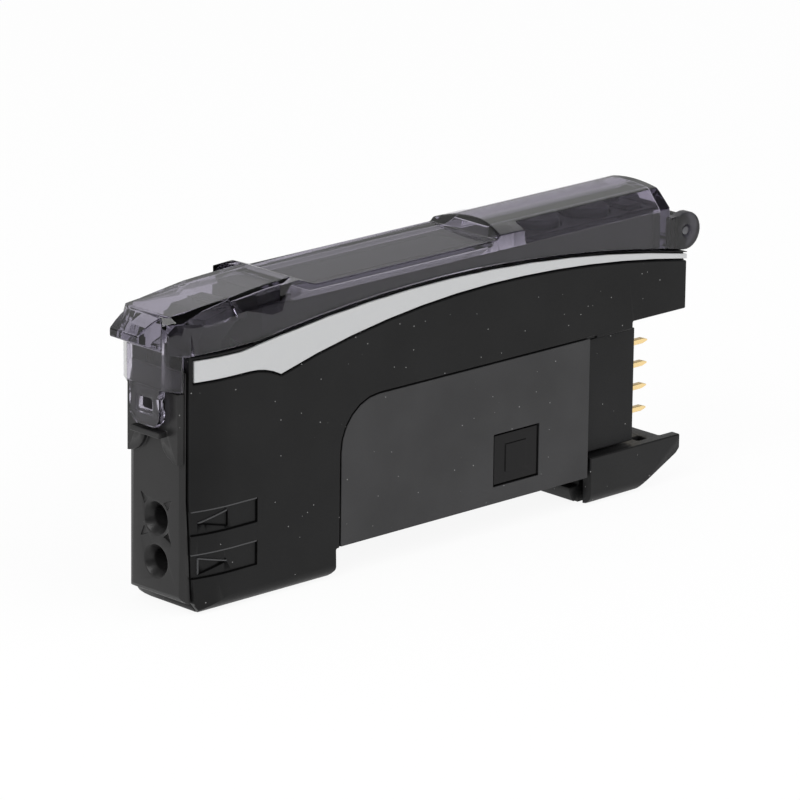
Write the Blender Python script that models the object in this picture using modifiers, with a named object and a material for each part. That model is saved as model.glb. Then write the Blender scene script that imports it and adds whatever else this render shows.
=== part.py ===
"""Fibre optic sensor amplifier for a 35 mm mounting rail.

Frame: the origin is the middle of the flat seat that lies on the rail. +X runs along the body towards the
plug, +Y to the far side and +Z up, away from the rail. All sizes are in metres.
"""

import math

import bmesh
import bpy
from mathutils import Matrix, Vector

MM = 0.001

# Gaps between pieces
GAP = 0.3 * MM
SEAM = 0.2 * MM
BORE_GAP = 0.15 * MM
CUT_MARGIN = 1.0 * MM
ARC_STEPS = 6
ROUND_SIDES = 24

# Rail and what holds it
RAIL_WIDTH = 35.0 * MM
RAIL_PLAY = 0.75 * MM
RAIL_LIP_THICKNESS = 1.0 * MM
RAIL_LIP_PLAY = 0.25 * MM
CLAW_REACH = 1.2 * MM
CLAW_INSET = 1.8 * MM
CLAW_RELIEF = 0.3 * MM
CLAW_NOSE = 0.5 * MM
FOOT_DEPTH = 3.1 * MM
FOOT_LENGTH = 17.95 * MM
FOOT_ROUNDING = 1.5 * MM
FOOT_HEEL = 0.6 * MM

# Case
CASE_WIDTH = 10.0 * MM
WALL = 1.2 * MM
FLOOR = 0.9 * MM
FRONT_REACH = 19.5 * MM
FRONT_SLANT = 0.65 * MM
FRONT_SLANT_HEIGHT = 9.0 * MM
FRONT_BASE_Z = -1.9 * MM
TOE_IN = 0.75 * MM
TOE_LENGTH = 5.3 * MM
SIDE_END_SETBACK = 0.45 * MM
OVERHANG_LENGTH = 14.3 * MM
OVERHANG_Z = 16.0 * MM
PLUG_ROOF_Z = 15.2 * MM
PLUG_ROOF_LENGTH = 6.4 * MM

# Cover edge and the shoulder below it
EDGE_CREST_Z = 25.93 * MM
EDGE_CREST_X = -3.0 * MM
EDGE_RADIUS = 176.0 * MM
EDGE_FRONT_Z = 23.97 * MM
EDGE_STEPS = 14

# Pale stripe on each side
STRIPE_THICKNESS = 0.3 * MM
STRIPE_FRONT_INSET = 0.6 * MM
STRIPE_TOP_Z = 25.55 * MM
STRIPE_TOP_X = -3.05 * MM
STRIPE_TOP_RADIUS = 172.0 * MM
STRIPE_FRONT_TOP_Z = 23.33 * MM
STRIPE_BASE_Z = 24.04 * MM
STRIPE_BASE_X = 4.05 * MM
STRIPE_BASE_FRONT_RADIUS = 115.0 * MM
STRIPE_BASE_REAR_RADIUS = 152.0 * MM
STRIPE_FRONT_BASE_Z = 21.13 * MM
STRIPE_CUSP_X = -26.05 * MM
STRIPE_BEND_LENGTH = 4.2 * MM
STRIPE_BEND_RADIUS = 8.7 * MM
STRIPE_STEPS = 12

# Blank label plate
LABEL_THICKNESS = 0.3 * MM
LABEL_FOOT_GAP = 0.6 * MM
LABEL_TOP_Z = 15.3 * MM
LABEL_RADIUS = 5.2 * MM
LABEL_BASE_Z = 0.1 * MM

# Windows of the link to the neighbouring units
LINK_X = 7.2 * MM
LINK_Z = 4.75 * MM
LINK_LENGTH = 6.2 * MM
LINK_HEIGHT = 5.3 * MM
LINK_BOSS = 3.0 * MM
LINK_SINK = 0.15 * MM
LINK_BOSS_PROUD = 0.12 * MM

# Direction marks pressed into the side
MARK_LENGTH = 8.4 * MM
MARK_HEIGHT = 2.6 * MM
MARK_PITCH = 4.5 * MM
MARK_UPPER_Z = 6.5 * MM
MARK_DEPTH = 0.15 * MM
MARK_FOOT_GAP = 10.9 * MM
ARROW_LENGTH = 3.5 * MM
ARROW_HEIGHT = 1.65 * MM
ARROW_FOOT_GAP = 16.7 * MM
ARROW_DEPTH = 0.2 * MM

# Fibre block
FACE_PROUD = 0.55 * MM
FACE_INSET = 0.65 * MM
PLATE_INSET = 0.95 * MM
PLATE_BEVEL = 0.25 * MM
PLATE_TOP_Z = 22.2 * MM
PLATE_ROUNDING = 0.9 * MM
BLOCK_LENGTH = 7.2 * MM
BLOCK_TOP_Z = 19.4 * MM
FIBRE_UPPER_Z = 6.35 * MM
FIBRE_PITCH = 4.5 * MM
FIBRE_RADIUS = 1.15 * MM
FIBRE_MOUTH_RADIUS = 1.75 * MM
FIBRE_MOUTH_DEPTH = 0.9 * MM
CHEEK_PROUD = 0.5 * MM
CHEEK_TAPER = 0.25 * MM
CHEEK_INSET = 1.0 * MM
CHEEK_ARCH_Z = 15.3 * MM
CHEEK_BASE_Z = 12.75 * MM
CHEEK_ARCH_HALF_WIDTH = 1.15 * MM
CHEEK_TOP_Z = 20.05 * MM
RIDGE_PROUD = 1.6 * MM
RIDGE_TOP_Z = 15.95 * MM
TICK_BASE_REACH = 2.05 * MM
TICK_TIP_REACH = 3.3 * MM
TICK_WIDTH = 0.95 * MM
TICK_DEPTH = 0.15 * MM

# Fibre clamp and its lever
CLAMP_SETBACK = 3.9 * MM
CLAMP_THICKNESS = 1.2 * MM
CLAMP_WIDTH = 3.2 * MM
CLAMP_TOP_Z = 19.2 * MM
CLAMP_BASE_Z = 0.2 * MM
CLAMP_LIFT = 0.5 * MM
CLAMP_EYE_PLAY = 0.1 * MM
LEVER_SETBACK = 4.1 * MM
LEVER_Z = 21.7 * MM
LEVER_RADIUS = 2.0 * MM
LEVER_SIDE_GAP = 0.4 * MM
LEVER_REACH = 5.6 * MM
LEVER_TOP_DROP = 0.1 * MM
LEVER_ARM = 1.5 * MM
AXLE_RADIUS = 0.6 * MM
EAR_THICKNESS = 0.6 * MM
EAR_TOP_Z = 23.4 * MM

# Optics behind the fibres
OPTICS_LENGTH = 4.0 * MM
OPTICS_INSET = 0.5 * MM
OPTICS_MARGIN = 2.6 * MM
DIODE_RADIUS = 1.5 * MM
DIODE_LENGTH = 3.0 * MM
DIODE_FLANGE_RADIUS = 1.9 * MM
DIODE_FLANGE = 0.6 * MM
DIODE_RECESS = 0.5 * MM
SHIELD_THICKNESS = 0.25 * MM
SHIELD_LENGTH = 2.2 * MM
SHIELD_INSET = 0.5 * MM
SHIELD_HEIGHT = 3.9 * MM

# Boards and what stands on them
BOARD_THICKNESS = 0.8 * MM
MAIN_BOARD_SETBACK = 15.75 * MM
MAIN_BOARD_REAR_SETBACK = 3.6 * MM
MAIN_BOARD_BASE_Z = 2.6 * MM
MAIN_BOARD_DROP = 1.1 * MM
DISPLAY_BOARD_DEPTH = 6.0 * MM
DISPLAY_BOARD_PLAY = 0.35 * MM
CHIP_SIZE = 7.0 * MM
CHIP_THICKNESS = 1.2 * MM
CHIP_X = -8.0 * MM
CHIP_Z = 11.0 * MM
CAPACITOR_LENGTH = 6.0 * MM
CAPACITOR_HEIGHT = 3.2 * MM
CAPACITOR_CLEARANCE = 0.75 * MM
CAPACITOR_X = 6.5 * MM
CAPACITOR_Z = 13.0 * MM
LINK_PART_SIZE = 2.6 * MM
LINK_PART_DEPTH = 2.2 * MM
HEADER_LENGTH = 12.0 * MM
HEADER_WIDTH = 2.4 * MM
HEADER_X = -6.0 * MM

# Operation panel, display and keys
PANEL_SETBACK = 10.05 * MM
PANEL_REAR_SETBACK = 4.1 * MM
PANEL_PLAY = 0.25 * MM
PANEL_WALL = 0.5 * MM
PANEL_TOP_Z = 27.3 * MM
PANEL_HEIGHT = 4.7 * MM
BROW_LENGTH = 4.4 * MM
BROW_INSET = 0.75 * MM
BROW_PROUD = 0.7 * MM
DISPLAY_SETBACK = 7.1 * MM
DISPLAY_LENGTH = 23.0 * MM
DISPLAY_INSET = 1.05 * MM
LENS_THICKNESS = 0.7 * MM
KEY_INSET = 0.95 * MM
KEY_PROUD = 0.85 * MM
KEY_ROUND_SPACING = 2.1 * MM
KEY_SPACING = 0.85 * MM
KEY_SMALL_SETBACK = 2.15 * MM
KEY_SMALL_LENGTH = 2.2 * MM
KEY_SMALL_INSET = 0.85 * MM
KEY_SMALL_GAP = 1.0 * MM
KEY_BEVEL = 0.35 * MM
KEY_FLANGE = 0.3 * MM
ROCKER_DROP = 0.2 * MM
KEY_FLANGE_THICKNESS = 0.5 * MM
KEY_STEM_RADIUS = 0.7 * MM
SWITCH_BODY = 1.9 * MM
SWITCH_HEIGHT = 1.3 * MM
SWITCH_PLUNGER_RADIUS = 0.55 * MM
SWITCH_PLUNGER = 0.5 * MM
ROCKER_SWITCH_SPREAD = 3.2 * MM

# Plug end
CONNECTOR_LENGTH = 7.35 * MM
CONNECTOR_INSET = 1.0 * MM
CONNECTOR_BASE_Z = 2.45 * MM
CONNECTOR_NECK_MARGIN = 1.0 * MM
PIN_COUNT = 4
PIN_PITCH = 2.5 * MM
PIN_LOWEST_Z = 4.15 * MM
PIN_SIZE = 0.6 * MM
PIN_STICK_OUT = 5.85 * MM
PIN_POINT = 0.7 * MM
PIN_TAIL = 2.2 * MM

# Rail hook
HOOK_TOP_Z = 2.15 * MM
HOOK_LENGTH = 13.5 * MM
HOOK_TRAVEL = 1.8 * MM
SHELF_LENGTH = 11.5 * MM
HOOK_EAR_THICKNESS = 1.2 * MM
HOOK_NOTCH_WIDTH = 0.6 * MM
HOOK_NOTCH_LENGTH = 2.2 * MM
HOOK_SLOPE_START = 7.4 * MM
HOOK_SLOPE_FOOT = 2.15 * MM
HOOK_EAR_BASE_Z = 0.6 * MM
SHELF_SLOT_LENGTH = 1.3 * MM
SHELF_SLOT_WIDTH = 1.2 * MM
SHELF_SLOT_X = 8.3 * MM
SHELF_SLOT_DEPTH = 0.8 * MM
TONGUE_INSET = 1.4 * MM
TONGUE_THICKNESS = 0.8 * MM
TONGUE_LENGTH = 6.5 * MM
TONGUE_END = 0.8 * MM
SPRING_OFFSET = 0.1 * MM
SPRING_RADIUS = 0.85 * MM
SPRING_WIRE_RADIUS = 0.16 * MM
SPRING_TURNS = 6
SPRING_STEPS = 10

# Protective cover
COVER_WALL = 0.8 * MM
COVER_FRONT_PROUD = 1.6 * MM
COVER_FRONT_INSET = 2.45 * MM
COVER_CORNER_LENGTH = 1.1 * MM
COVER_TOE_IN = 0.65 * MM
VISOR_REACH = 2.7 * MM
VISOR_BULGE = 2.2
VISOR_INSET = 0.4 * MM
VISOR_BASE_Z = 25.6 * MM
VISOR_TOP_Z = 26.45 * MM
VISOR_ROOT_Z = 24.45 * MM
WINDOW_CLEARANCE = 0.45 * MM
WINDOW_SETBACK = 16.25 * MM
WINDOW_LENGTH = 25.35 * MM
HOOD_FRONT_DROP = 0.3 * MM
HOOD_REAR_RISE = 0.8 * MM
HOOD_BULGE = 1.4
HOOD_SLOPE = 2.2 * MM
REAR_HOOD_RISE = 1.3 * MM
REAR_HOOD_CROWN_RADIUS = 14.0 * MM
REAR_HOOD_SETBACK = 2.9 * MM
FACET_INSET = 1.7 * MM
FACET_BASE_DROP = 1.03 * MM
FACET_RISE = 1.95 * MM
FACET_FALL = 0.17
FACET_CREASE_SETBACK = 6.15 * MM
FRONT_FACET_LENGTH = 11.45 * MM
FRONT_FACET_SLANT = 1.9
REAR_FACET_SETBACK = 4.15 * MM
SKIRT_BASE_Z = 20.35 * MM
SKIRT_REAR_GAP = 0.25 * MM
TAB_INSET = 0.35 * MM
TAB_BASE_Z = 16.3 * MM
TAB_CORNER = 0.85 * MM
SLOT_Z = 18.55 * MM
SLOT_LENGTH = 1.9 * MM
SLOT_HEIGHT = 1.2 * MM
SLOT_BEVEL = 0.35 * MM
HINGE_Z = 24.5 * MM
HINGE_INSET = 0.1 * MM
KNUCKLE_RADIUS = 2.05 * MM
KNUCKLE_THICKNESS = 1.15 * MM
KNUCKLE_NOTCH_Z = 26.3 * MM
LUG_RADIUS = 1.6 * MM
LUG_FOOT_ANGLE = -35.0
HINGE_PIN_RADIUS = 0.5 * MM

# Places that follow from the sizes
HALF = CASE_WIDTH / 2
FOOT_X = -(RAIL_WIDTH / 2 + RAIL_PLAY)
HOOK_X = RAIL_WIDTH / 2 + RAIL_PLAY
FRONT_X = FOOT_X - FRONT_REACH
LIP_X = FOOT_X - FOOT_LENGTH
SIDE_END_X = HOOK_X - SIDE_END_SETBACK
REAR_X = SIDE_END_X + OVERHANG_LENGTH
INNER = HALF - WALL
PARTING = -(INNER - SEAM)
FACE_X = FRONT_X - FACE_PROUD
HINGE_X = REAR_X - HINGE_INSET
COVER_FRONT_X = FACE_X - COVER_FRONT_PROUD
COVER_CORNER_X = COVER_FRONT_X + COVER_CORNER_LENGTH
HOOD_START_X = COVER_CORNER_X + COVER_CORNER_LENGTH
HOOD_END_X = REAR_X - REAR_HOOD_SETBACK
CONNECTOR_X = SIDE_END_X + GAP
CONNECTOR_END_X = CONNECTOR_X + CONNECTOR_LENGTH
PANEL_END_X = REAR_X - PANEL_REAR_SETBACK
CLAW_TOP_Z = -(RAIL_LIP_THICKNESS + RAIL_LIP_PLAY)
FIBRE_LOWER_Z = FIBRE_UPPER_Z - FIBRE_PITCH
BLOCK_END_X = FACE_X + BLOCK_LENGTH
LABEL_FRONT_X = FOOT_X + LABEL_FOOT_GAP
CLAMP_X = FACE_X + CLAMP_SETBACK
LEVER_X = FACE_X + LEVER_SETBACK
MAIN_BOARD_FRONT_X = FRONT_X + MAIN_BOARD_SETBACK
PANEL_FRONT_X = FRONT_X + PANEL_SETBACK
DISPLAY_FRONT_X = PANEL_FRONT_X + DISPLAY_SETBACK
KEY_SMALL_X = PANEL_END_X - KEY_SMALL_SETBACK
WINDOW_FRONT_X = FRONT_X + WINDOW_SETBACK
FACET_CREASE_X = FRONT_X + FACET_CREASE_SETBACK
FRONT_FACET_END_X = FRONT_X + FRONT_FACET_LENGTH
REAR_FACET_START_X = WINDOW_FRONT_X + WINDOW_LENGTH + REAR_FACET_SETBACK

# Heights that follow from the panel's top
KEY_TOP_Z = PANEL_TOP_Z + KEY_PROUD
BROW_TOP_Z = PANEL_TOP_Z + BROW_PROUD
PANEL_BASE_Z = PANEL_TOP_Z - PANEL_HEIGHT
DISPLAY_BOARD_Z = PANEL_TOP_Z - DISPLAY_BOARD_DEPTH
MAIN_BOARD_TOP_Z = DISPLAY_BOARD_Z - MAIN_BOARD_DROP
WINDOW_Z = PANEL_TOP_Z + WINDOW_CLEARANCE + COVER_WALL
HOOD_FRONT_Z = WINDOW_Z - HOOD_FRONT_DROP
HOOD_REAR_Z = WINDOW_Z + HOOD_REAR_RISE
REAR_HOOD_CROWN_Z = WINDOW_Z + REAR_HOOD_RISE
FACET_BASE_Z = WINDOW_Z - FACET_BASE_DROP
LEVER_TOP_Z = PANEL_TOP_Z - LEVER_TOP_DROP

# Widths that follow from the case's width
PLATE_HALF_WIDTH = HALF - PLATE_INSET
FACE_HALF_WIDTH = PLATE_HALF_WIDTH - FACE_INSET
BLOCK_HALF_WIDTH = INNER - GAP
CHEEK_HALF_WIDTH = HALF - CHEEK_INSET
CHEEK_FRONT_HALF_WIDTH = CHEEK_HALF_WIDTH - CHEEK_TAPER
OPTICS_HALF_WIDTH = BLOCK_HALF_WIDTH - OPTICS_INSET
SHIELD_WIDTH = 2 * (OPTICS_HALF_WIDTH - SHIELD_INSET)
LEVER_WIDTH = 2 * (BLOCK_HALF_WIDTH - EAR_THICKNESS - LEVER_SIDE_GAP)
PANEL_HALF_WIDTH = INNER - PANEL_PLAY
BROW_HALF_WIDTH = PANEL_HALF_WIDTH - BROW_INSET
DISPLAY_WIDTH = 2 * (PANEL_HALF_WIDTH - DISPLAY_INSET)
DISPLAY_BOARD_HALF_WIDTH = PANEL_HALF_WIDTH - PANEL_WALL - DISPLAY_BOARD_PLAY
KEY_RADIUS = PANEL_HALF_WIDTH - KEY_INSET
KEY_SMALL_WIDTH = PANEL_HALF_WIDTH - KEY_SMALL_INSET - KEY_SMALL_GAP / 2
KEY_SMALL_PITCH = KEY_SMALL_WIDTH + KEY_SMALL_GAP
KEY_TUNE_X = KEY_SMALL_X - KEY_SMALL_LENGTH / 2 - KEY_SPACING - KEY_RADIUS
KEY_ROCKER_X = KEY_TUNE_X - 2 * KEY_RADIUS - KEY_ROUND_SPACING
CONNECTOR_HALF_WIDTH = HALF - CONNECTOR_INSET
CONNECTOR_NECK_HALF_WIDTH = CONNECTOR_HALF_WIDTH - CONNECTOR_NECK_MARGIN
CLAW_WIDTH = 2 * (HALF - CLAW_INSET)
TONGUE_WIDTH = 2 * (INNER - TONGUE_INSET)
SPRING_Y = SPRING_OFFSET - (INNER + BOARD_THICKNESS / 2) / 2
CAPACITOR_DEPTH = INNER - BOARD_THICKNESS / 2 - BORE_GAP - CAPACITOR_CLEARANCE
COVER_FRONT_HALF_WIDTH = HALF - COVER_FRONT_INSET
COVER_CORNER_HALF_WIDTH = HALF - COVER_TOE_IN
VISOR_HALF_WIDTH = COVER_FRONT_HALF_WIDTH - VISOR_INSET
FACET_TOP_HALF_WIDTH = HALF - FACET_INSET
TAB_HALF_WIDTH = COVER_FRONT_HALF_WIDTH - TAB_INSET
RIDGE_HALF_WIDTH = TAB_HALF_WIDTH


def clear_scene():
    """Remove whatever the scene holds."""
    for item in list(bpy.data.objects):
        bpy.data.objects.remove(item, do_unlink=True)


def new_collection(name):
    """Make a collection in the scene."""
    collection = bpy.data.collections.new(name)
    bpy.context.scene.collection.children.link(collection)
    return collection


clear_scene()
PARTS = new_collection("fibre_sensor_amplifier")
CUTTERS = new_collection("cutters")

AXES = {
    "X": Matrix(((0, 0, 1, 0), (1, 0, 0, 0), (0, 1, 0, 0), (0, 0, 0, 1))),
    "Y": Matrix(((1, 0, 0, 0), (0, 0, -1, 0), (0, 1, 0, 0), (0, 0, 0, 1))),
    "Z": Matrix.Identity(4),
}


def material(name, color, roughness, metallic=0.0, alpha=1.0, transmission=0.0):
    """Principled material with one colour."""
    made = bpy.data.materials.new(name)
    made.use_nodes = True
    shader = made.node_tree.nodes["Principled BSDF"]
    shader.inputs["Base Color"].default_value = (*color, 1.0)
    shader.inputs["Roughness"].default_value = roughness
    shader.inputs["Metallic"].default_value = metallic
    shader.inputs["Alpha"].default_value = alpha
    shader.inputs["Transmission Weight"].default_value = transmission
    return made


def finish(piece, color, roughness, metallic=0.0, alpha=1.0, transmission=0.0):
    """Move a solid to the parts and give it a material of its own."""
    for collection in list(piece.users_collection):
        collection.objects.unlink(piece)
    PARTS.objects.link(piece)
    piece.hide_render = False
    piece.display_type = "TEXTURED"
    piece.data.materials.clear()
    piece.data.materials.append(material(piece.name, color, roughness, metallic, alpha, transmission))
    return piece


def from_mesh(name, mesh, matrix=None):
    """Object for a mesh, kept among the cutters until it is finished."""
    made = bpy.data.objects.new(name, mesh)
    if matrix is not None:
        made.matrix_world = matrix
    made.hide_render = True
    made.display_type = "WIRE"
    CUTTERS.objects.link(made)
    return made


def mesh_of_curve(guide, smooth_angle=None):
    """Turn a curve object into a closed mesh object at the same place."""
    name = guide.name
    guide.name = name + "_guide"
    CUTTERS.objects.link(guide)
    bpy.context.view_layer.update()
    depsgraph = bpy.context.evaluated_depsgraph_get()
    mesh = bpy.data.meshes.new_from_object(guide.evaluated_get(depsgraph))
    mesh.name = name
    shape = bmesh.new()
    shape.from_mesh(mesh)
    bmesh.ops.remove_doubles(shape, verts=shape.verts, dist=0.000001)
    bmesh.ops.recalc_face_normals(shape, faces=shape.faces)
    shape.to_mesh(mesh)
    shape.free()
    matrix = guide.matrix_world.copy()
    bpy.data.objects.remove(guide, do_unlink=True)
    if smooth_angle is not None:
        mesh.shade_smooth()
        mesh.set_sharp_from_angle(angle=smooth_angle)
    return from_mesh(name, mesh, matrix)


def prism(name, outline, axis, low, high, holes=()):
    """Flat outline across an axis, filled and extruded from low to high along it."""
    curve = bpy.data.curves.new(name, "CURVE")
    curve.dimensions = "2D"
    curve.fill_mode = "BOTH"
    curve.extrude = (high - low) / 2
    for ring in (outline, *holes):
        spline = curve.splines.new("POLY")
        spline.points.add(len(ring) - 1)
        for point, (across, up) in zip(spline.points, ring):
            point.co = (across, up, 0.0, 1.0)
        spline.use_cyclic_u = True
    guide = bpy.data.objects.new(name, curve)
    middle = (low + high) / 2
    reverse = -1 if axis == "Y" else 1
    guide.matrix_world = AXES[axis] @ Matrix.Translation((0.0, 0.0, reverse * middle))
    return mesh_of_curve(guide)


def box(name, low, high):
    """Rectangular block between two corners."""
    mesh = bpy.data.meshes.new(name)
    shape = bmesh.new()
    bmesh.ops.create_cube(shape, size=1.0)
    size = Vector(high) - Vector(low)
    bmesh.ops.scale(shape, vec=size, verts=shape.verts)
    shape.to_mesh(mesh)
    shape.free()
    return from_mesh(name, mesh, Matrix.Translation((Vector(low) + Vector(high)) / 2))


def rod(name, axis, start, length, radius, end_radius=None, sides=ROUND_SIDES):
    """Cylinder or cone that starts at a point and runs along an axis."""
    mesh = bpy.data.meshes.new(name)
    shape = bmesh.new()
    far_radius = radius if end_radius is None else end_radius
    bmesh.ops.create_cone(
        shape, cap_ends=True, segments=sides, radius1=radius, radius2=far_radius, depth=length
    )
    shape.to_mesh(mesh)
    shape.free()
    mesh.shade_smooth()
    mesh.set_sharp_from_angle(angle=math.radians(40))
    run = {"X": (1, 0, 0), "Y": (0, 1, 0), "Z": (0, 0, 1)}[axis]
    turn = {"X": Matrix.Rotation(math.pi / 2, 4, "Y"), "Y": Matrix.Rotation(-math.pi / 2, 4, "X")}
    middle = Vector(start) + Vector(run) * length / 2
    return from_mesh(name, mesh, Matrix.Translation(middle) @ turn.get(axis, Matrix.Identity(4)))


def turned(name, profile, base, sides=ROUND_SIDES, axis="Z"):
    """Turned solid: a closed profile of (radius, height) swept round an upright axis at base."""
    mesh = bpy.data.meshes.new(name)
    shape = bmesh.new()
    corners = [shape.verts.new((radius, 0.0, height)) for radius, height in profile]
    for first, second in zip(corners, corners[1:]):
        shape.edges.new((first, second))
    shape.to_mesh(mesh)
    shape.free()
    lay = Matrix.Rotation(math.pi / 2, 4, "Y") if axis == "X" else Matrix.Identity(4)
    made = from_mesh(name, mesh, Matrix.Translation(base) @ lay)
    screw = made.modifiers.new("turn", "SCREW")
    screw.steps = sides
    screw.render_steps = sides
    screw.use_merge_vertices = True
    screw.merge_threshold = 0.00001
    screw.use_smooth_shade = False
    return made


def boolean(target, other, operation):
    """Add a Boolean of another solid to a target."""
    step = target.modifiers.new(other.name, "BOOLEAN")
    step.operation = operation
    step.object = other
    step.solver = "EXACT"
    return target


def cut(target, *others):
    """Take solids away from a target."""
    for other in others:
        boolean(target, other, "DIFFERENCE")
    return target


def join(target, *others):
    """Fuse solids to a target."""
    for other in others:
        boolean(target, other, "UNION")
    return target


def keep(target, *others):
    """Keep only what a target shares with other solids."""
    for other in others:
        boolean(target, other, "INTERSECT")
    return target


def pivot(name, place, *pieces):
    """Empty on a joint's axis that carries the moving pieces."""
    empty = bpy.data.objects.new(name, None)
    empty.location = place
    empty.empty_display_size = 2.0 * MM
    PARTS.objects.link(empty)
    bpy.context.view_layer.update()
    for piece in pieces:
        piece.parent = empty
        piece.matrix_parent_inverse = empty.matrix_world.inverted()


def arc(center, radius, start, end, steps=ARC_STEPS):
    """Points along an arc, angles in degrees."""
    points = []
    for step in range(steps + 1):
        angle = math.radians(start + (end - start) * step / steps)
        points.append((center[0] + radius * math.cos(angle), center[1] + radius * math.sin(angle)))
    return points


def spread(start, end, steps):
    """Evenly spaced values from start to end."""
    return [start + (end - start) * step / steps for step in range(steps + 1)]


def edge_z(x):
    """Height of the cover's lower edge."""
    curved = EDGE_CREST_Z - (x - EDGE_CREST_X) ** 2 / (2 * EDGE_RADIUS)
    return max(EDGE_FRONT_Z, curved) if x < EDGE_CREST_X else curved


def shoulder_z(x):
    """Height of the case's shoulder, a seam below the cover."""
    return edge_z(x) - SEAM


def edge_line(start, end):
    """Sampled x values along the cover's edge, with its kink among them."""
    kink = EDGE_CREST_X - math.sqrt(2 * EDGE_RADIUS * (EDGE_CREST_Z - EDGE_FRONT_Z))
    low, high = sorted((start, end))
    values = [x for x in spread(kink, high, EDGE_STEPS) if x >= kink]
    values = [low] + values
    return values if start < end else values[::-1]


def stripe_top_z(x):
    """Upper line of the stripe."""
    curved = STRIPE_TOP_Z - (x - STRIPE_TOP_X) ** 2 / (2 * STRIPE_TOP_RADIUS)
    return max(STRIPE_FRONT_TOP_Z, curved) if x < STRIPE_TOP_X else curved


def stripe_base_z(x):
    """Lower line of the stripe behind its cusp."""
    radius = STRIPE_BASE_FRONT_RADIUS if x < STRIPE_BASE_X else STRIPE_BASE_REAR_RADIUS
    return STRIPE_BASE_Z - (x - STRIPE_BASE_X) ** 2 / (2 * radius)


def toe_plan(front_x, toe_in, toe_length, reach):
    """Plan of a body whose sides turn in towards the front, up to x = reach."""
    radius = (toe_length**2 + toe_in**2) / (2 * toe_in)
    steepness = toe_length / (radius - toe_in)
    side = [(front_x - CUT_MARGIN, HALF - toe_in - steepness * CUT_MARGIN)]
    for x in spread(front_x, front_x + toe_length, 5):
        depth = front_x + toe_length - x
        side.append((x, HALF - radius + math.sqrt(radius**2 - depth**2)))
    side.append((reach, HALF))
    return [(x, -y) for x, y in side] + side[::-1]


def case_outline():
    """Side view of the whole case."""
    heel_z = -FOOT_DEPTH + FOOT_HEEL * 1.4
    points = [(LIP_X, -FOOT_DEPTH), (FOOT_X - FOOT_HEEL, -FOOT_DEPTH), (FOOT_X, heel_z), (FOOT_X, 0.0)]
    points += [(SIDE_END_X, 0.0), (SIDE_END_X, PLUG_ROOF_Z)]
    roof_end = SIDE_END_X + PLUG_ROOF_LENGTH
    points += [(roof_end, PLUG_ROOF_Z), (roof_end, OVERHANG_Z), (REAR_X, OVERHANG_Z)]
    points += [(x, shoulder_z(x)) for x in edge_line(REAR_X, FRONT_X)]
    points += [(FRONT_X, FRONT_SLANT_HEIGHT), (FRONT_X + FRONT_SLANT, FRONT_BASE_Z)]
    return points


def case_form(name):
    """Outer form of the closed case: side view, plan and rounded foot."""
    form = prism(name, case_outline(), "Y", -HALF - CUT_MARGIN, HALF + CUT_MARGIN)
    plan = toe_plan(FRONT_X, TOE_IN, TOE_LENGTH, REAR_X + CUT_MARGIN)
    keep(form, prism(name + "_plan", plan, "Z", -FOOT_DEPTH - CUT_MARGIN, WINDOW_Z))
    for side, y in (("near", -1), ("far", 1)):
        center = (y * (HALF - FOOT_ROUNDING), -FOOT_DEPTH + FOOT_ROUNDING)
        start, end = (180, 270) if y < 0 else (360, 270)
        corner = arc(center, FOOT_ROUNDING, start, end)
        outside = y * (HALF + CUT_MARGIN)
        below = -FOOT_DEPTH - CUT_MARGIN
        corner = [(outside, corner[0][1])] + corner + [(corner[-1][0], below), (outside, below)]
        low, high = FRONT_X - CUT_MARGIN, FOOT_X + CUT_MARGIN
        cut(form, prism(f"{name}_foot_{side}", corner, "X", low, high))
    return form


def foot_claw():
    """Fixed claw on the foot that grips the rail's front lip."""
    tip = FOOT_X + CLAW_REACH
    base = -FOOT_DEPTH + FOOT_HEEL
    outline = [(FOOT_X - WALL, CLAW_TOP_Z), (tip, CLAW_TOP_Z), (tip, CLAW_TOP_Z - CLAW_NOSE)]
    outline += [(FOOT_X, base), (FOOT_X - WALL, base)]
    return prism("foot_claw", outline, "Y", -CLAW_WIDTH / 2, CLAW_WIDTH / 2)


def claw_relief(name, low_x, high_x):
    """Shallow clearance in the rail seat above a claw, open to the rail."""
    half = CLAW_WIDTH / 2 + GAP
    return box(name, (low_x, -half, -GAP), (high_x, half, CLAW_RELIEF))


def case_cavity():
    """Hollow of the tub, open to the front and the top."""
    top = WINDOW_Z
    roof = OVERHANG_Z + WALL
    points = [(FRONT_X - CUT_MARGIN, -FOOT_DEPTH + WALL), (FOOT_X - WALL, -FOOT_DEPTH + WALL)]
    points += [(FOOT_X - WALL, FLOOR), (SIDE_END_X - WALL, FLOOR), (SIDE_END_X - WALL, roof)]
    points += [(REAR_X - WALL, roof), (REAR_X - WALL, top), (FRONT_X - CUT_MARGIN, top)]
    return prism("case_cavity", points, "Y", -HALF - CUT_MARGIN, INNER)


def hinge_lug():
    """Barrel at the rear of the case that carries the cover's pin."""
    base = shoulder_z(REAR_X) - WALL
    outline = arc((HINGE_X, HINGE_Z), LUG_RADIUS, LUG_FOOT_ANGLE, 180, 10)
    outline += [(HINGE_X - LUG_RADIUS, base), (REAR_X, base)]
    half = HALF - KNUCKLE_THICKNESS - GAP
    lug = prism("hinge_lug", outline, "Y", -half, half)
    return lug


def lug_bore():
    """Hole of the hinge pin through the lug."""
    return rod(
        "lug_bore", "Y", (HINGE_X, -HALF, HINGE_Z), CASE_WIDTH, HINGE_PIN_RADIUS + BORE_GAP
    )


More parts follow.
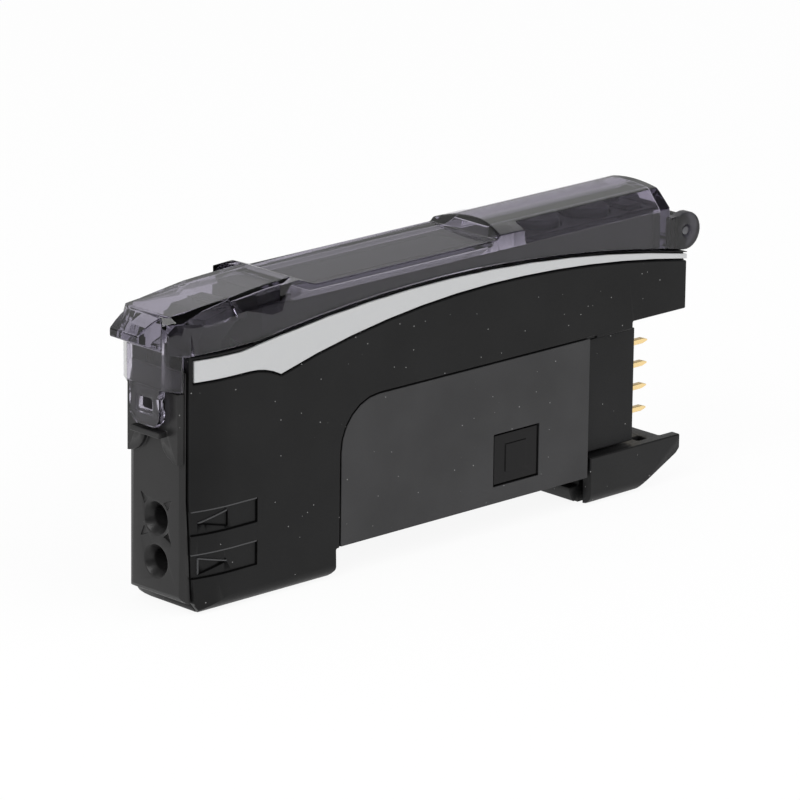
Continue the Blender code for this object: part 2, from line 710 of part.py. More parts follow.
def link_hole(name, side):
    """Opening for a link window in a side wall, -1 near and 1 far."""
    reach = sorted((side * (INNER - CUT_MARGIN), side * (HALF + CUT_MARGIN)))
    half_length = LINK_LENGTH / 2 + SEAM
    half_height = LINK_HEIGHT / 2 + SEAM
    low = (LINK_X - half_length, reach[0], LINK_Z - half_height)
    high = (LINK_X + half_length, reach[1], LINK_Z + half_height)
    return box(name, low, high)


def stripe_outline(margin=0.0):
    """Outline of the stripe, grown by a margin for its pocket."""
    front = FRONT_X + STRIPE_FRONT_INSET - margin
    rear = REAR_X + CUT_MARGIN if margin else REAR_X
    bend_x = STRIPE_CUSP_X - STRIPE_BEND_LENGTH
    top = [(x, stripe_top_z(x) + margin) for x in spread(rear, front, STRIPE_STEPS)]
    base = [(front, STRIPE_FRONT_BASE_Z - margin)]
    for x in spread(bend_x, STRIPE_CUSP_X, 4):
        drop = STRIPE_BEND_RADIUS - math.sqrt(STRIPE_BEND_RADIUS**2 - (x - bend_x) ** 2)
        base.append((x, STRIPE_FRONT_BASE_Z - drop - margin))
    base += [(x, stripe_base_z(x) - margin) for x in spread(STRIPE_CUSP_X, rear, STRIPE_STEPS)[1:]]
    return top + base


def side_skin(name, side, depth, proud=0.0):
    """Layer of a side wall down to a depth, following the turned-in front."""
    plan = toe_plan(FRONT_X, TOE_IN, TOE_LENGTH, REAR_X + 2 * CUT_MARGIN)
    line = [point for point in plan if point[1] * side > 0]
    outer = [(x, y + side * proud) for x, y in line]
    inner = [(x, y - side * depth) for x, y in line]
    return prism(name, outer + inner[::-1], "Z", -FOOT_DEPTH, WINDOW_Z)


def stripe(side_name, side):
    """Stripe inlay on one side."""
    reach = sorted((side * (HALF - WALL), side * (HALF + CUT_MARGIN)))
    made = prism(f"stripe_{side_name}", stripe_outline(), "Y", reach[0], reach[1])
    keep(made, side_skin(made.name + "_skin", side, STRIPE_THICKNESS))
    return finish(made, (0.58, 0.59, 0.59), 0.35)


def stripe_pocket(side_name, side):
    """Pocket for the stripe in a side wall."""
    reach = sorted((side * (HALF - WALL), side * (HALF + CUT_MARGIN)))
    pocket = prism(f"stripe_pocket_{side_name}", stripe_outline(SEAM), "Y", reach[0], reach[1])
    depth = STRIPE_THICKNESS + BORE_GAP
    keep(pocket, side_skin(pocket.name + "_skin", side, depth, CUT_MARGIN))
    return pocket


def main_case():
    """Tub: far wall, floor, foot, overhang and hinge lug in one moulding."""
    case = case_form("main_case")
    join(case, foot_claw(), hinge_lug())
    cut(case, case_cavity(), lug_bore())
    low = (FRONT_X - CUT_MARGIN, -HALF - CUT_MARGIN, -FOOT_DEPTH - CUT_MARGIN)
    slab = box("near_side_cut", low, (REAR_X + CUT_MARGIN, PARTING, WINDOW_Z))
    neck = CONNECTOR_NECK_HALF_WIDTH + GAP
    neck_low = CONNECTOR_BASE_Z + CONNECTOR_NECK_MARGIN - GAP
    neck_high = PLUG_ROOF_Z - GAP - CONNECTOR_NECK_MARGIN + GAP
    mouth = box(
        "plug_mouth", (SIDE_END_X - 2 * WALL, -neck, neck_low), (SIDE_END_X + CUT_MARGIN, neck, neck_high)
    )
    half = TONGUE_WIDTH / 2 + GAP
    slot = box(
        "tongue_slot",
        (SIDE_END_X - 2 * WALL, -half, FLOOR),
        (SIDE_END_X + CUT_MARGIN, half, FLOOR + TONGUE_THICKNESS + 2 * GAP),
    )
    cut(case, slab, mouth, slot, link_hole("link_hole_far", 1), stripe_pocket("far", 1))
    front_relief = claw_relief("front_relief", FOOT_X, FOOT_X + CLAW_REACH + GAP)
    rear_relief = claw_relief("rear_relief", HOOK_X - CLAW_REACH - GAP, SIDE_END_X + CUT_MARGIN)
    cut(case, front_relief, rear_relief)
    return finish(case, (0.022, 0.022, 0.024), 0.42)


def label_outline(margin=0.0):
    """Outline of the label plate, grown by a margin for its pocket."""
    front = LABEL_FRONT_X - margin
    top = LABEL_TOP_Z + margin
    rear = SIDE_END_X + (CUT_MARGIN if margin else 0.0)
    base = LABEL_BASE_Z - margin if not margin else -CUT_MARGIN
    radius = LABEL_RADIUS + margin
    return [(front, base), (rear, base), (rear, top)] + arc((front + radius, top - radius), radius, 90, 180)


def mark_cutters():
    """Two sunk fields on the near side, each with a triangle cut in, along the turned-in front."""
    cutters = []
    rear = FOOT_X - MARK_FOOT_GAP
    front = FRONT_X - 2 * CUT_MARGIN
    middle = FOOT_X - ARROW_FOOT_GAP
    outside = -HALF - CUT_MARGIN
    for index, point in enumerate((-1, 1)):
        center_z = MARK_UPPER_Z - index * MARK_PITCH
        field = [(front, center_z - MARK_HEIGHT / 2), (rear, center_z - MARK_HEIGHT / 2)]
        field += [(rear, center_z + MARK_HEIGHT / 2), (front, center_z + MARK_HEIGHT / 2)]
        sunk = prism(f"mark_field_{index}", field, "Y", outside, -HALF + WALL)
        keep(sunk, side_skin(f"mark_field_skin_{index}", -1, MARK_DEPTH, CUT_MARGIN))
        cutters.append(sunk)
        tail = middle - point * ARROW_LENGTH / 2
        tip = (middle + point * ARROW_LENGTH / 2, center_z)
        arrow = [tip, (tail, center_z + ARROW_HEIGHT / 2), (tail, center_z - ARROW_HEIGHT / 2)]
        cutter = prism(f"mark_arrow_{index}", arrow, "Y", outside, -HALF + WALL)
        keep(cutter, side_skin(f"mark_arrow_skin_{index}", -1, ARROW_DEPTH, CUT_MARGIN))
        cutters.append(cutter)
    return cutters


def side_cover():
    """Near wall that closes the tub."""
    cover = case_form("side_cover")
    low = (FRONT_X - CUT_MARGIN, -INNER, -FOOT_DEPTH - CUT_MARGIN)
    cut(cover, box("side_cover_inside", low, (REAR_X + CUT_MARGIN, HALF + CUT_MARGIN, WINDOW_Z)))
    pocket = prism("label_pocket", label_outline(SEAM), "Y", -HALF - CUT_MARGIN, -HALF + LABEL_THICKNESS)
    cut(cover, pocket, link_hole("link_hole_near", -1), stripe_pocket("near", -1), *mark_cutters())
    return finish(cover, (0.022, 0.022, 0.024), 0.42)


def side_label():
    """Blank satin label plate with an opening for the link window."""
    plate = prism("side_label", label_outline(), "Y", -HALF, -HALF + LABEL_THICKNESS - BORE_GAP)
    cut(plate, link_hole("label_hole", -1))
    return finish(plate, (0.058, 0.058, 0.062), 0.5)


def link_window(side_name, side):
    """Infrared window with a raised square, let into a side wall."""
    half_length = LINK_LENGTH / 2
    half_height = LINK_HEIGHT / 2
    face = HALF - LINK_SINK
    reach = sorted((side * (INNER + GAP), side * face))
    low = (LINK_X - half_length, reach[0], LINK_Z - half_height)
    high = (LINK_X + half_length, reach[1], LINK_Z + half_height)
    window = box(f"link_window_{side_name}", low, high)
    boss = sorted((side * (INNER + 2 * GAP), side * (face + LINK_BOSS_PROUD)))
    low = (LINK_X - LINK_BOSS / 2, boss[0], LINK_Z - LINK_BOSS / 2)
    high = (LINK_X + LINK_BOSS / 2, boss[1], LINK_Z + LINK_BOSS / 2)
    join(window, box(window.name + "_boss", low, high))
    return finish(window, (0.016, 0.014, 0.018), 0.2)


def fibre_positions():
    """Height of each fibre hole, upper first."""
    return [FIBRE_UPPER_Z, FIBRE_LOWER_Z]


def fibre_plate():
    """Front plate of the fibre block with bevelled sides and a rounded foot."""
    rear_top = FRONT_X - SEAM
    rear_base = FRONT_X + FRONT_SLANT - SEAM
    foot = arc((FACE_X + PLATE_ROUNDING, FRONT_BASE_Z + PLATE_ROUNDING), PLATE_ROUNDING, 180, 270, 5)
    side_view = [(rear_top, FRONT_SLANT_HEIGHT), (rear_top, PLATE_TOP_Z), (FACE_X, PLATE_TOP_Z)]
    side_view += foot + [(rear_base, FRONT_BASE_Z)]
    reach = PLATE_HALF_WIDTH + CUT_MARGIN
    plate = prism("fibre_block", side_view, "Y", -reach, reach)
    rear = FRONT_X + FRONT_SLANT + CUT_MARGIN
    taper = PLATE_HALF_WIDTH - FACE_HALF_WIDTH
    plan = [(FACE_X - PLATE_BEVEL, FACE_HALF_WIDTH - taper), (FACE_X + PLATE_BEVEL, PLATE_HALF_WIDTH)]
    plan.append((rear, PLATE_HALF_WIDTH))
    plan = [(x, -y) for x, y in plan] + plan[::-1]
    keep(plate, prism("fibre_plate_plan", plan, "Z", FRONT_BASE_Z - CUT_MARGIN, PLATE_TOP_Z + CUT_MARGIN))
    return plate


def fibre_cheeks():
    """Raised field above the fibre holes with an arched lower edge, and the ridge under the tongue."""
    reach = CHEEK_HALF_WIDTH - CHEEK_ARCH_HALF_WIDTH
    drop = CHEEK_ARCH_Z - CHEEK_BASE_Z
    arch = [(CHEEK_HALF_WIDTH + reach * y, CHEEK_ARCH_Z + drop * z) for y, z in arc((0, 0), 1, 180, 262, 5)]
    half = arch + [(PLATE_HALF_WIDTH, arch[-1][1]), (PLATE_HALF_WIDTH, CHEEK_TOP_Z)]
    front_view = [(-y, z) for y, z in half] + half[::-1]
    front = FACE_X - CHEEK_PROUD
    rear = FACE_X + PLATE_BEVEL / 2
    cheeks = prism("fibre_cheeks", front_view, "X", front, rear)
    taper = CHEEK_HALF_WIDTH - CHEEK_FRONT_HALF_WIDTH
    depth = rear - front
    plan = [(front - depth, CHEEK_FRONT_HALF_WIDTH - taper), (rear + depth, CHEEK_HALF_WIDTH + taper)]
    plan = [(x, -y) for x, y in plan] + plan[::-1]
    keep(cheeks, prism("fibre_cheek_plan", plan, "Z", CHEEK_BASE_Z - CUT_MARGIN, CHEEK_TOP_Z + CUT_MARGIN))
    low = (FACE_X - RIDGE_PROUD, -RIDGE_HALF_WIDTH, CHEEK_ARCH_Z + BORE_GAP / 3)
    ridge = box("fibre_ridge", low, (FACE_X - CHEEK_PROUD / 2, RIDGE_HALF_WIDTH, RIDGE_TOP_Z))
    join(cheeks, ridge)
    return cheeks


def fibre_ticks():
    """Four small triangular marks round the upper hole."""
    cutters = []
    for across in (-1, 1):
        for up in (-1, 1):
            out = Vector((across, up)) / math.sqrt(2)
            aside = Vector((up, -across)) * TICK_WIDTH / 2 / math.sqrt(2)
            base = out * TICK_BASE_REACH
            outline = [out * TICK_TIP_REACH, base + aside, base - aside]
            outline = [(point.x, FIBRE_UPPER_Z + point.y) for point in outline]
            name = f"tick_{across + 1}_{up + 1}"
            cutters.append(prism(name, outline, "X", FACE_X - CUT_MARGIN, FACE_X + TICK_DEPTH))
    return cutters


def fibre_core():
    """Body of the fibre block in the case, with two ears for the lever's axle."""
    front = FACE_X + PLATE_BEVEL * 0.8
    base = max(-FOOT_DEPTH + WALL + GAP, FRONT_BASE_Z + GAP)
    ear_front = LEVER_X - LEVER_RADIUS
    ear_rear = LEVER_X + LEVER_RADIUS
    side_view = [(front, base), (BLOCK_END_X, base), (BLOCK_END_X, BLOCK_TOP_Z), (ear_rear, BLOCK_TOP_Z)]
    side_view += [(ear_rear, EAR_TOP_Z), (ear_front, EAR_TOP_Z), (ear_front, BLOCK_TOP_Z)]
    side_view += [(front, BLOCK_TOP_Z)]
    core = prism("fibre_core", side_view, "Y", -BLOCK_HALF_WIDTH, BLOCK_HALF_WIDTH)
    bay = BLOCK_HALF_WIDTH - EAR_THICKNESS
    low = (ear_front - GAP, -bay, BLOCK_TOP_Z - GAP)
    cut(core, box("lever_bay", low, (ear_rear + GAP, bay, EAR_TOP_Z + CUT_MARGIN)))
    return core


def fibre_block():
    """Front moulding that guides the two fibres and carries the lever."""
    block = fibre_plate()
    join(block, fibre_core(), fibre_cheeks())
    half = CLAMP_WIDTH / 2 + GAP
    clamp_slot = box(
        "clamp_slot",
        (CLAMP_X - CLAMP_THICKNESS / 2 - GAP, -half, CLAMP_BASE_Z - GAP),
        (CLAMP_X + CLAMP_THICKNESS / 2 + GAP, half, BLOCK_TOP_Z + CUT_MARGIN),
    )
    bore_radius = AXLE_RADIUS + BORE_GAP
    axle_bore = rod("axle_bore", "Y", (LEVER_X, -HALF, LEVER_Z), CASE_WIDTH, bore_radius)
    cut(block, clamp_slot, axle_bore, *fibre_ticks())
    for index, z in enumerate(fibre_positions()):
        start = (FACE_X - CUT_MARGIN, 0, z)
        bore = rod(f"fibre_bore_{index}", "X", start, BLOCK_LENGTH + 2 * CUT_MARGIN, FIBRE_RADIUS)
        flare = (FIBRE_MOUTH_RADIUS - FIBRE_RADIUS) / FIBRE_MOUTH_DEPTH * CUT_MARGIN
        depth = FIBRE_MOUTH_DEPTH + CUT_MARGIN
        mouth = rod(f"fibre_mouth_{index}", "X", start, depth, FIBRE_MOUTH_RADIUS + flare, FIBRE_RADIUS)
        cut(block, bore, mouth)
    return finish(block, (0.034, 0.034, 0.037), 0.4)


def fibre_clamp():
    """Slide that grips both fibres when the lever comes down."""
    half = CLAMP_THICKNESS / 2
    low = (CLAMP_X - half, -CLAMP_WIDTH / 2, CLAMP_BASE_Z)
    clamp = box("fibre_clamp", low, (CLAMP_X + half, CLAMP_WIDTH / 2, CLAMP_TOP_Z))
    for index, z in enumerate(fibre_positions()):
        start = (CLAMP_X - CLAMP_THICKNESS, 0, z - CLAMP_LIFT)
        radius = FIBRE_RADIUS + CLAMP_EYE_PLAY
        cut(clamp, rod(f"clamp_eye_{index}", "X", start, 2 * CLAMP_THICKNESS, radius))
    return finish(clamp, (0.12, 0.12, 0.12), 0.5)


def lock_lever():
    """Lever with a cam at its axle and a finger rest to the rear."""
    tip_x = LEVER_X + LEVER_REACH
    center = (LEVER_X, LEVER_Z)
    barrel = arc(center, LEVER_RADIUS, 120, 300, 10)
    arm_base = LEVER_TOP_Z - LEVER_ARM
    outline = barrel + [(LEVER_X + LEVER_RADIUS, LEVER_Z), (LEVER_X + LEVER_RADIUS, arm_base - LEVER_ARM)]
    outline += [(tip_x - LEVER_ARM, arm_base), (tip_x, arm_base), (tip_x, LEVER_TOP_Z - LEVER_ARM / 3)]
    outline += [(tip_x - LEVER_ARM, LEVER_TOP_Z), (LEVER_X, LEVER_TOP_Z - LEVER_ARM / 2)]
    outline += [(LEVER_X - LEVER_RADIUS / 2, arm_base - LEVER_ARM / 2)]
    lever = prism("lock_lever", outline, "Y", -LEVER_WIDTH / 2, LEVER_WIDTH / 2)
    cut(lever, rod("lever_bore", "Y", (LEVER_X, -HALF, LEVER_Z), CASE_WIDTH, AXLE_RADIUS + BORE_GAP))
    return finish(lever, (0.02, 0.02, 0.022), 0.45)


def lever_axle():
    """Steel axle of the lever."""
    length = 2 * BLOCK_HALF_WIDTH
    axle = rod("lever_axle", "Y", (LEVER_X, -length / 2, LEVER_Z), length, AXLE_RADIUS)
    return finish(axle, (0.55, 0.55, 0.57), 0.3, 1.0)


def optics_holder():
    """Block that seats the two diodes behind the fibres."""
    front = BLOCK_END_X + GAP
    low = (front, -OPTICS_HALF_WIDTH, max(FIBRE_LOWER_Z - OPTICS_MARGIN, -FOOT_DEPTH + WALL + GAP))
    high = (front + OPTICS_LENGTH, OPTICS_HALF_WIDTH, FIBRE_UPPER_Z + OPTICS_MARGIN)
    holder = box("optics_holder", low, high)
    for index, z in enumerate(fibre_positions()):
        sight = rod(f"sight_{index}", "X", (front - CUT_MARGIN, 0, z), OPTICS_LENGTH + 2 * CUT_MARGIN, FIBRE_RADIUS)
        seat = rod(
            f"diode_seat_{index}",
            "X",
            (front + DIODE_RECESS, 0, z),
            OPTICS_LENGTH + CUT_MARGIN,
            DIODE_RADIUS + BORE_GAP,
        )
        cut(holder, sight, seat)
    return finish(holder, (0.02, 0.02, 0.02), 0.6)


def diode(name, z, color):
    """Diode with a domed lens to the front and a flange at the back."""
    front = BLOCK_END_X + GAP + DIODE_RECESS + GAP
    dome = DIODE_RADIUS * 0.6
    seat = OPTICS_LENGTH - DIODE_RECESS - GAP + BORE_GAP
    profile = [(0.0, seat + DIODE_FLANGE), (DIODE_FLANGE_RADIUS, seat + DIODE_FLANGE)]
    profile += [(DIODE_FLANGE_RADIUS, seat), (DIODE_RADIUS, seat), (DIODE_RADIUS, dome)]
    profile += [(DIODE_RADIUS * 0.72, dome * 0.3), (0.0, 0.0)]
    made = turned(name, profile, (front, 0.0, z), 16, "X")
    return finish(made, color, 0.15)


def receiver_shield():
    """Thin metal shield behind the receiver."""
    front = BLOCK_END_X + GAP + OPTICS_LENGTH + DIODE_FLANGE + 2 * GAP
    z = FIBRE_LOWER_Z
    half_width = SHIELD_WIDTH / 2
    half_height = SHIELD_HEIGHT / 2
    low = (front, -half_width, z - half_height)
    shield = box("receiver_shield", low, (front + SHIELD_LENGTH, half_width, z + half_height))
    low = (front - CUT_MARGIN, -half_width + SHIELD_THICKNESS, z - half_height + SHIELD_THICKNESS)
    high = (
        front + SHIELD_LENGTH - SHIELD_THICKNESS,
        half_width - SHIELD_THICKNESS,
        z + half_height - SHIELD_THICKNESS,
    )
    cut(shield, box("shield_inside", low, high))
    return finish(shield, (0.6, 0.6, 0.58), 0.35, 1.0)


def main_board():
    """Upright circuit board in the middle of the case."""
    rear = SIDE_END_X - MAIN_BOARD_REAR_SETBACK
    half = BOARD_THICKNESS / 2
    low = (MAIN_BOARD_FRONT_X, -half, MAIN_BOARD_BASE_Z)
    board = box("main_board", low, (rear, half, MAIN_BOARD_TOP_Z))
    return finish(board, (0.02, 0.11, 0.045), 0.45)


def board_parts():
    """Chip, capacitor and link diodes on the main board."""
    face = BOARD_THICKNESS / 2 + BORE_GAP
    rows = [
        ("processor_chip", -1, CHIP_X, CHIP_Z, CHIP_SIZE, CHIP_SIZE, CHIP_THICKNESS, (0.012, 0.012, 0.013)),
        (
            "power_capacitor",
            -1,
            CAPACITOR_X,
            CAPACITOR_Z,
            CAPACITOR_LENGTH,
            CAPACITOR_HEIGHT,
            CAPACITOR_DEPTH,
            (0.45, 0.25, 0.04),
        ),
        ("link_emitter", -1, LINK_X, LINK_Z, LINK_PART_SIZE, LINK_PART_SIZE, LINK_PART_DEPTH, (0.25, 0.25, 0.3)),
        ("link_receiver", 1, LINK_X, LINK_Z, LINK_PART_SIZE, LINK_PART_SIZE, LINK_PART_DEPTH, (0.02, 0.02, 0.025)),
    ]
    for name, side, x, z, length, height, depth, color in rows:
        reach = sorted((side * face, side * (face + depth)))
        low = (x - length / 2, reach[0], z - height / 2)
        finish(box(name, low, (x + length / 2, reach[1], z + height / 2)), color, 0.4)


def board_header():
    """Connector between the two boards."""
    low = (HEADER_X - HEADER_LENGTH / 2, -HEADER_WIDTH / 2, MAIN_BOARD_TOP_Z + BORE_GAP)
    high = (HEADER_X + HEADER_LENGTH / 2, HEADER_WIDTH / 2, DISPLAY_BOARD_Z - BORE_GAP)
    return finish(box("board_header", low, high), (0.6, 0.57, 0.5), 0.5)


def display_board():
    """Level circuit board under the panel."""
    front = PANEL_FRONT_X + PANEL_WALL + 2 * GAP
    rear = PANEL_END_X - PANEL_WALL - 2 * GAP
    low = (front, -DISPLAY_BOARD_HALF_WIDTH, DISPLAY_BOARD_Z)
    high = (rear, DISPLAY_BOARD_HALF_WIDTH, DISPLAY_BOARD_Z + BOARD_THICKNESS)
    return finish(box("display_board", low, high), (0.02, 0.11, 0.045), 0.45)


def display_module():
    """Digit display on the display board."""
    base = DISPLAY_BOARD_Z + BOARD_THICKNESS + BORE_GAP
    half = DISPLAY_WIDTH / 2 - GAP
    low = (DISPLAY_FRONT_X + GAP, -half, base)
    high = (DISPLAY_FRONT_X + DISPLAY_LENGTH - GAP, half, PANEL_TOP_Z - LENS_THICKNESS - GAP)
    return finish(box("display_module", low, high), (0.03, 0.03, 0.035), 0.3)


def display_lens():
    """Dark window over the display, flush with the panel."""
    low = (DISPLAY_FRONT_X, -DISPLAY_WIDTH / 2, PANEL_TOP_Z - LENS_THICKNESS)
    high = (DISPLAY_FRONT_X + DISPLAY_LENGTH, DISPLAY_WIDTH / 2, PANEL_TOP_Z)
    return finish(box("display_lens", low, high), (0.05, 0.05, 0.055), 0.12)


def small_keys():
    """Name and middle of each small key."""
    return [("mode", -KEY_SMALL_PITCH / 2), ("output", KEY_SMALL_PITCH / 2)]


def operation_panel():
    """Bezel under the cover, open below, with holes for the keys and the display."""
    low = (PANEL_FRONT_X, -PANEL_HALF_WIDTH, PANEL_BASE_Z)
    panel = box("operation_panel", low, (PANEL_END_X, PANEL_HALF_WIDTH, PANEL_TOP_Z))
    low = (PANEL_FRONT_X, -BROW_HALF_WIDTH, PANEL_TOP_Z - PANEL_WALL)
    brow = box("panel_brow", low, (PANEL_FRONT_X + BROW_LENGTH, BROW_HALF_WIDTH, BROW_TOP_Z))
    join(panel, brow)
    low = (PANEL_FRONT_X + PANEL_WALL, -PANEL_HALF_WIDTH + PANEL_WALL, PANEL_BASE_Z - CUT_MARGIN)
    high = (PANEL_END_X - PANEL_WALL, PANEL_HALF_WIDTH - PANEL_WALL, PANEL_TOP_Z - PANEL_WALL)
    cut(panel, box("panel_inside", low, high))
    half = DISPLAY_WIDTH / 2 + SEAM
    low = (DISPLAY_FRONT_X - SEAM, -half, PANEL_TOP_Z - 2 * PANEL_WALL)
    cut(panel, box("display_hole", low, (DISPLAY_FRONT_X + DISPLAY_LENGTH + SEAM, half, BROW_TOP_Z)))
    for name, x in (("rocker", KEY_ROCKER_X), ("tune", KEY_TUNE_X)):
        start = (x, 0, PANEL_TOP_Z - 2 * PANEL_WALL)
        cut(panel, rod(f"{name}_hole", "Z", start, 4 * PANEL_WALL, KEY_RADIUS + SEAM))
    for name, y in small_keys():
        half_length = KEY_SMALL_LENGTH / 2 + SEAM
        half_width = KEY_SMALL_WIDTH / 2 + SEAM
        low = (KEY_SMALL_X - half_length, y - half_width, PANEL_TOP_Z - 2 * PANEL_WALL)
        high = (KEY_SMALL_X + half_length, y + half_width, BROW_TOP_Z)
        cut(panel, box(f"{name}_hole", low, high))
    return finish(panel, (0.022, 0.022, 0.025), 0.45)


def switch_top_z():
    """Height of the tip of a switch's plunger."""
    return DISPLAY_BOARD_Z + BOARD_THICKNESS + BORE_GAP + SWITCH_HEIGHT + SWITCH_PLUNGER


def tact_switch(name, x, y):
    """Small push switch on the display board."""
    base = DISPLAY_BOARD_Z + BOARD_THICKNESS + BORE_GAP
    half = SWITCH_BODY / 2
    body = box(f"switch_{name}", (x - half, y - half, base), (x + half, y + half, base + SWITCH_HEIGHT))
    start = (x, y, base + SWITCH_HEIGHT / 2)
    length = SWITCH_HEIGHT / 2 + SWITCH_PLUNGER
    join(body, rod(f"plunger_{name}", "Z", start, length, SWITCH_PLUNGER_RADIUS, sides=12))
    return finish(body, (0.3, 0.3, 0.3), 0.4)


def switches():
    """One switch under each end of the rocker and under each other key."""
    half = ROCKER_SWITCH_SPREAD / 2
    tact_switch("rocker_up", KEY_ROCKER_X - half, 0.0)
    tact_switch("rocker_down", KEY_ROCKER_X + half, 0.0)
    tact_switch("tune", KEY_TUNE_X, 0.0)
    for name, y in small_keys():
        tact_switch(name, KEY_SMALL_X, y)


def key_rim_z():
    """Underside of the panel's top plate, where the keys' flanges stop."""
    return PANEL_TOP_Z - PANEL_WALL - BORE_GAP


def round_key(name, x, drop=0.0):
    """Round key with a bevelled top and a flange, which can lie lower by a drop."""
    rim = key_rim_z() - drop
    base = key_rim_z() - KEY_FLANGE_THICKNESS - drop
    flange = min(KEY_RADIUS + KEY_FLANGE, PANEL_HALF_WIDTH - PANEL_WALL - BORE_GAP)
    profile = [(0.0, KEY_TOP_Z), (KEY_RADIUS - KEY_BEVEL, KEY_TOP_Z), (KEY_RADIUS, KEY_TOP_Z - KEY_BEVEL)]
    profile += [(KEY_RADIUS, rim), (flange, rim), (flange, base), (0.0, base)]
    return turned(name, profile, (x, 0.0, 0.0))


def key_rocker():
    """Rocking key over two switches."""
    key = round_key("key_rocker", KEY_ROCKER_X, ROCKER_DROP)
    base = key_rim_z() - KEY_FLANGE_THICKNESS - ROCKER_DROP
    foot = switch_top_z() + GAP
    for name, side in (("up", -1), ("down", 1)):
        start = (KEY_ROCKER_X + side * ROCKER_SWITCH_SPREAD / 2, 0.0, foot)
        join(key, rod(f"rocker_stem_{name}", "Z", start, base + GAP - foot, KEY_STEM_RADIUS, sides=12))
    finish(key, (0.03, 0.03, 0.034), 0.5)
    pivot("rocker_pivot", (KEY_ROCKER_X, 0.0, key_rim_z()), key)
    return key


def key_tune():
    """Round push key."""
    key = round_key("key_tune", KEY_TUNE_X)
    base = key_rim_z() - KEY_FLANGE_THICKNESS
    foot = switch_top_z() + GAP
    start = (KEY_TUNE_X, 0.0, foot)
    join(key, rod("tune_stem", "Z", start, base + GAP - foot, KEY_STEM_RADIUS, sides=12))
    finish(key, (0.03, 0.03, 0.034), 0.5)
    pivot("tune_guide", (KEY_TUNE_X, 0.0, KEY_TOP_Z), key)
    return key


def small_key(name, y):
    """Rectangular push key with a flange and a stem."""
    rim = key_rim_z()
    base = rim - KEY_FLANGE_THICKNESS
    half_length = KEY_SMALL_LENGTH / 2
    half_width = KEY_SMALL_WIDTH / 2
    low = (KEY_SMALL_X - half_length, y - half_width, base)
    key = box(f"key_{name}", low, (KEY_SMALL_X + half_length, y + half_width, KEY_TOP_Z - KEY_BEVEL))
    out = KEY_FLANGE
    low = (KEY_SMALL_X - half_length - out, y - half_width, base)
    flange = box(f"{name}_flange", low, (KEY_SMALL_X + half_length, y + half_width, rim))
    foot = switch_top_z() + GAP
    start = (KEY_SMALL_X, y, foot)
    stem = rod(f"{name}_stem", "Z", start, base + GAP - foot, KEY_STEM_RADIUS, sides=12)
    join(key, flange, stem)
    finish(key, (0.03, 0.03, 0.034), 0.5)
    pivot(f"{name}_guide", (KEY_SMALL_X, y, KEY_TOP_Z), key)
    return key


def connector_housing():
    """Set-back block that holds the contact pins."""
    top = PLUG_ROOF_Z - GAP
    low = (CONNECTOR_X, -CONNECTOR_HALF_WIDTH, CONNECTOR_BASE_Z)
    housing = box("connector_housing", low, (CONNECTOR_END_X, CONNECTOR_HALF_WIDTH, top))
    half = CONNECTOR_NECK_HALF_WIDTH
    low = (SIDE_END_X - WALL, -half, CONNECTOR_BASE_Z + CONNECTOR_NECK_MARGIN)
    join(housing, box("connector_neck", low, (CONNECTOR_X + WALL, half, top - CONNECTOR_NECK_MARGIN)))
    for index in range(PIN_COUNT):
        z = PIN_LOWEST_Z + index * PIN_PITCH
        half = PIN_SIZE / 2 + BORE_GAP
        low = (SIDE_END_X - 2 * WALL, -half, z - half)
        cut(housing, box(f"pin_hole_{index + 1}", low, (CONNECTOR_END_X + CUT_MARGIN, half, z + half)))
    return finish(housing, (0.024, 0.024, 0.026), 0.5)


def contact_pin(index):
    """Square gold pin with a pointed tip."""
    z = PIN_LOWEST_Z + index * PIN_PITCH
    half = PIN_SIZE / 2
    tail = SIDE_END_X - WALL - PIN_TAIL
    tip = CONNECTOR_END_X + PIN_STICK_OUT
    outline = [(tail, z - half), (tip - PIN_POINT, z - half), (tip, z - half / 3), (tip, z + half / 3)]
    outline += [(tip - PIN_POINT, z + half), (tail, z + half)]
    pin = prism(f"contact_pin_{index + 1}", outline, "Y", -half, half)
    return finish(pin, (0.83, 0.58, 0.24), 0.25, 1.0)


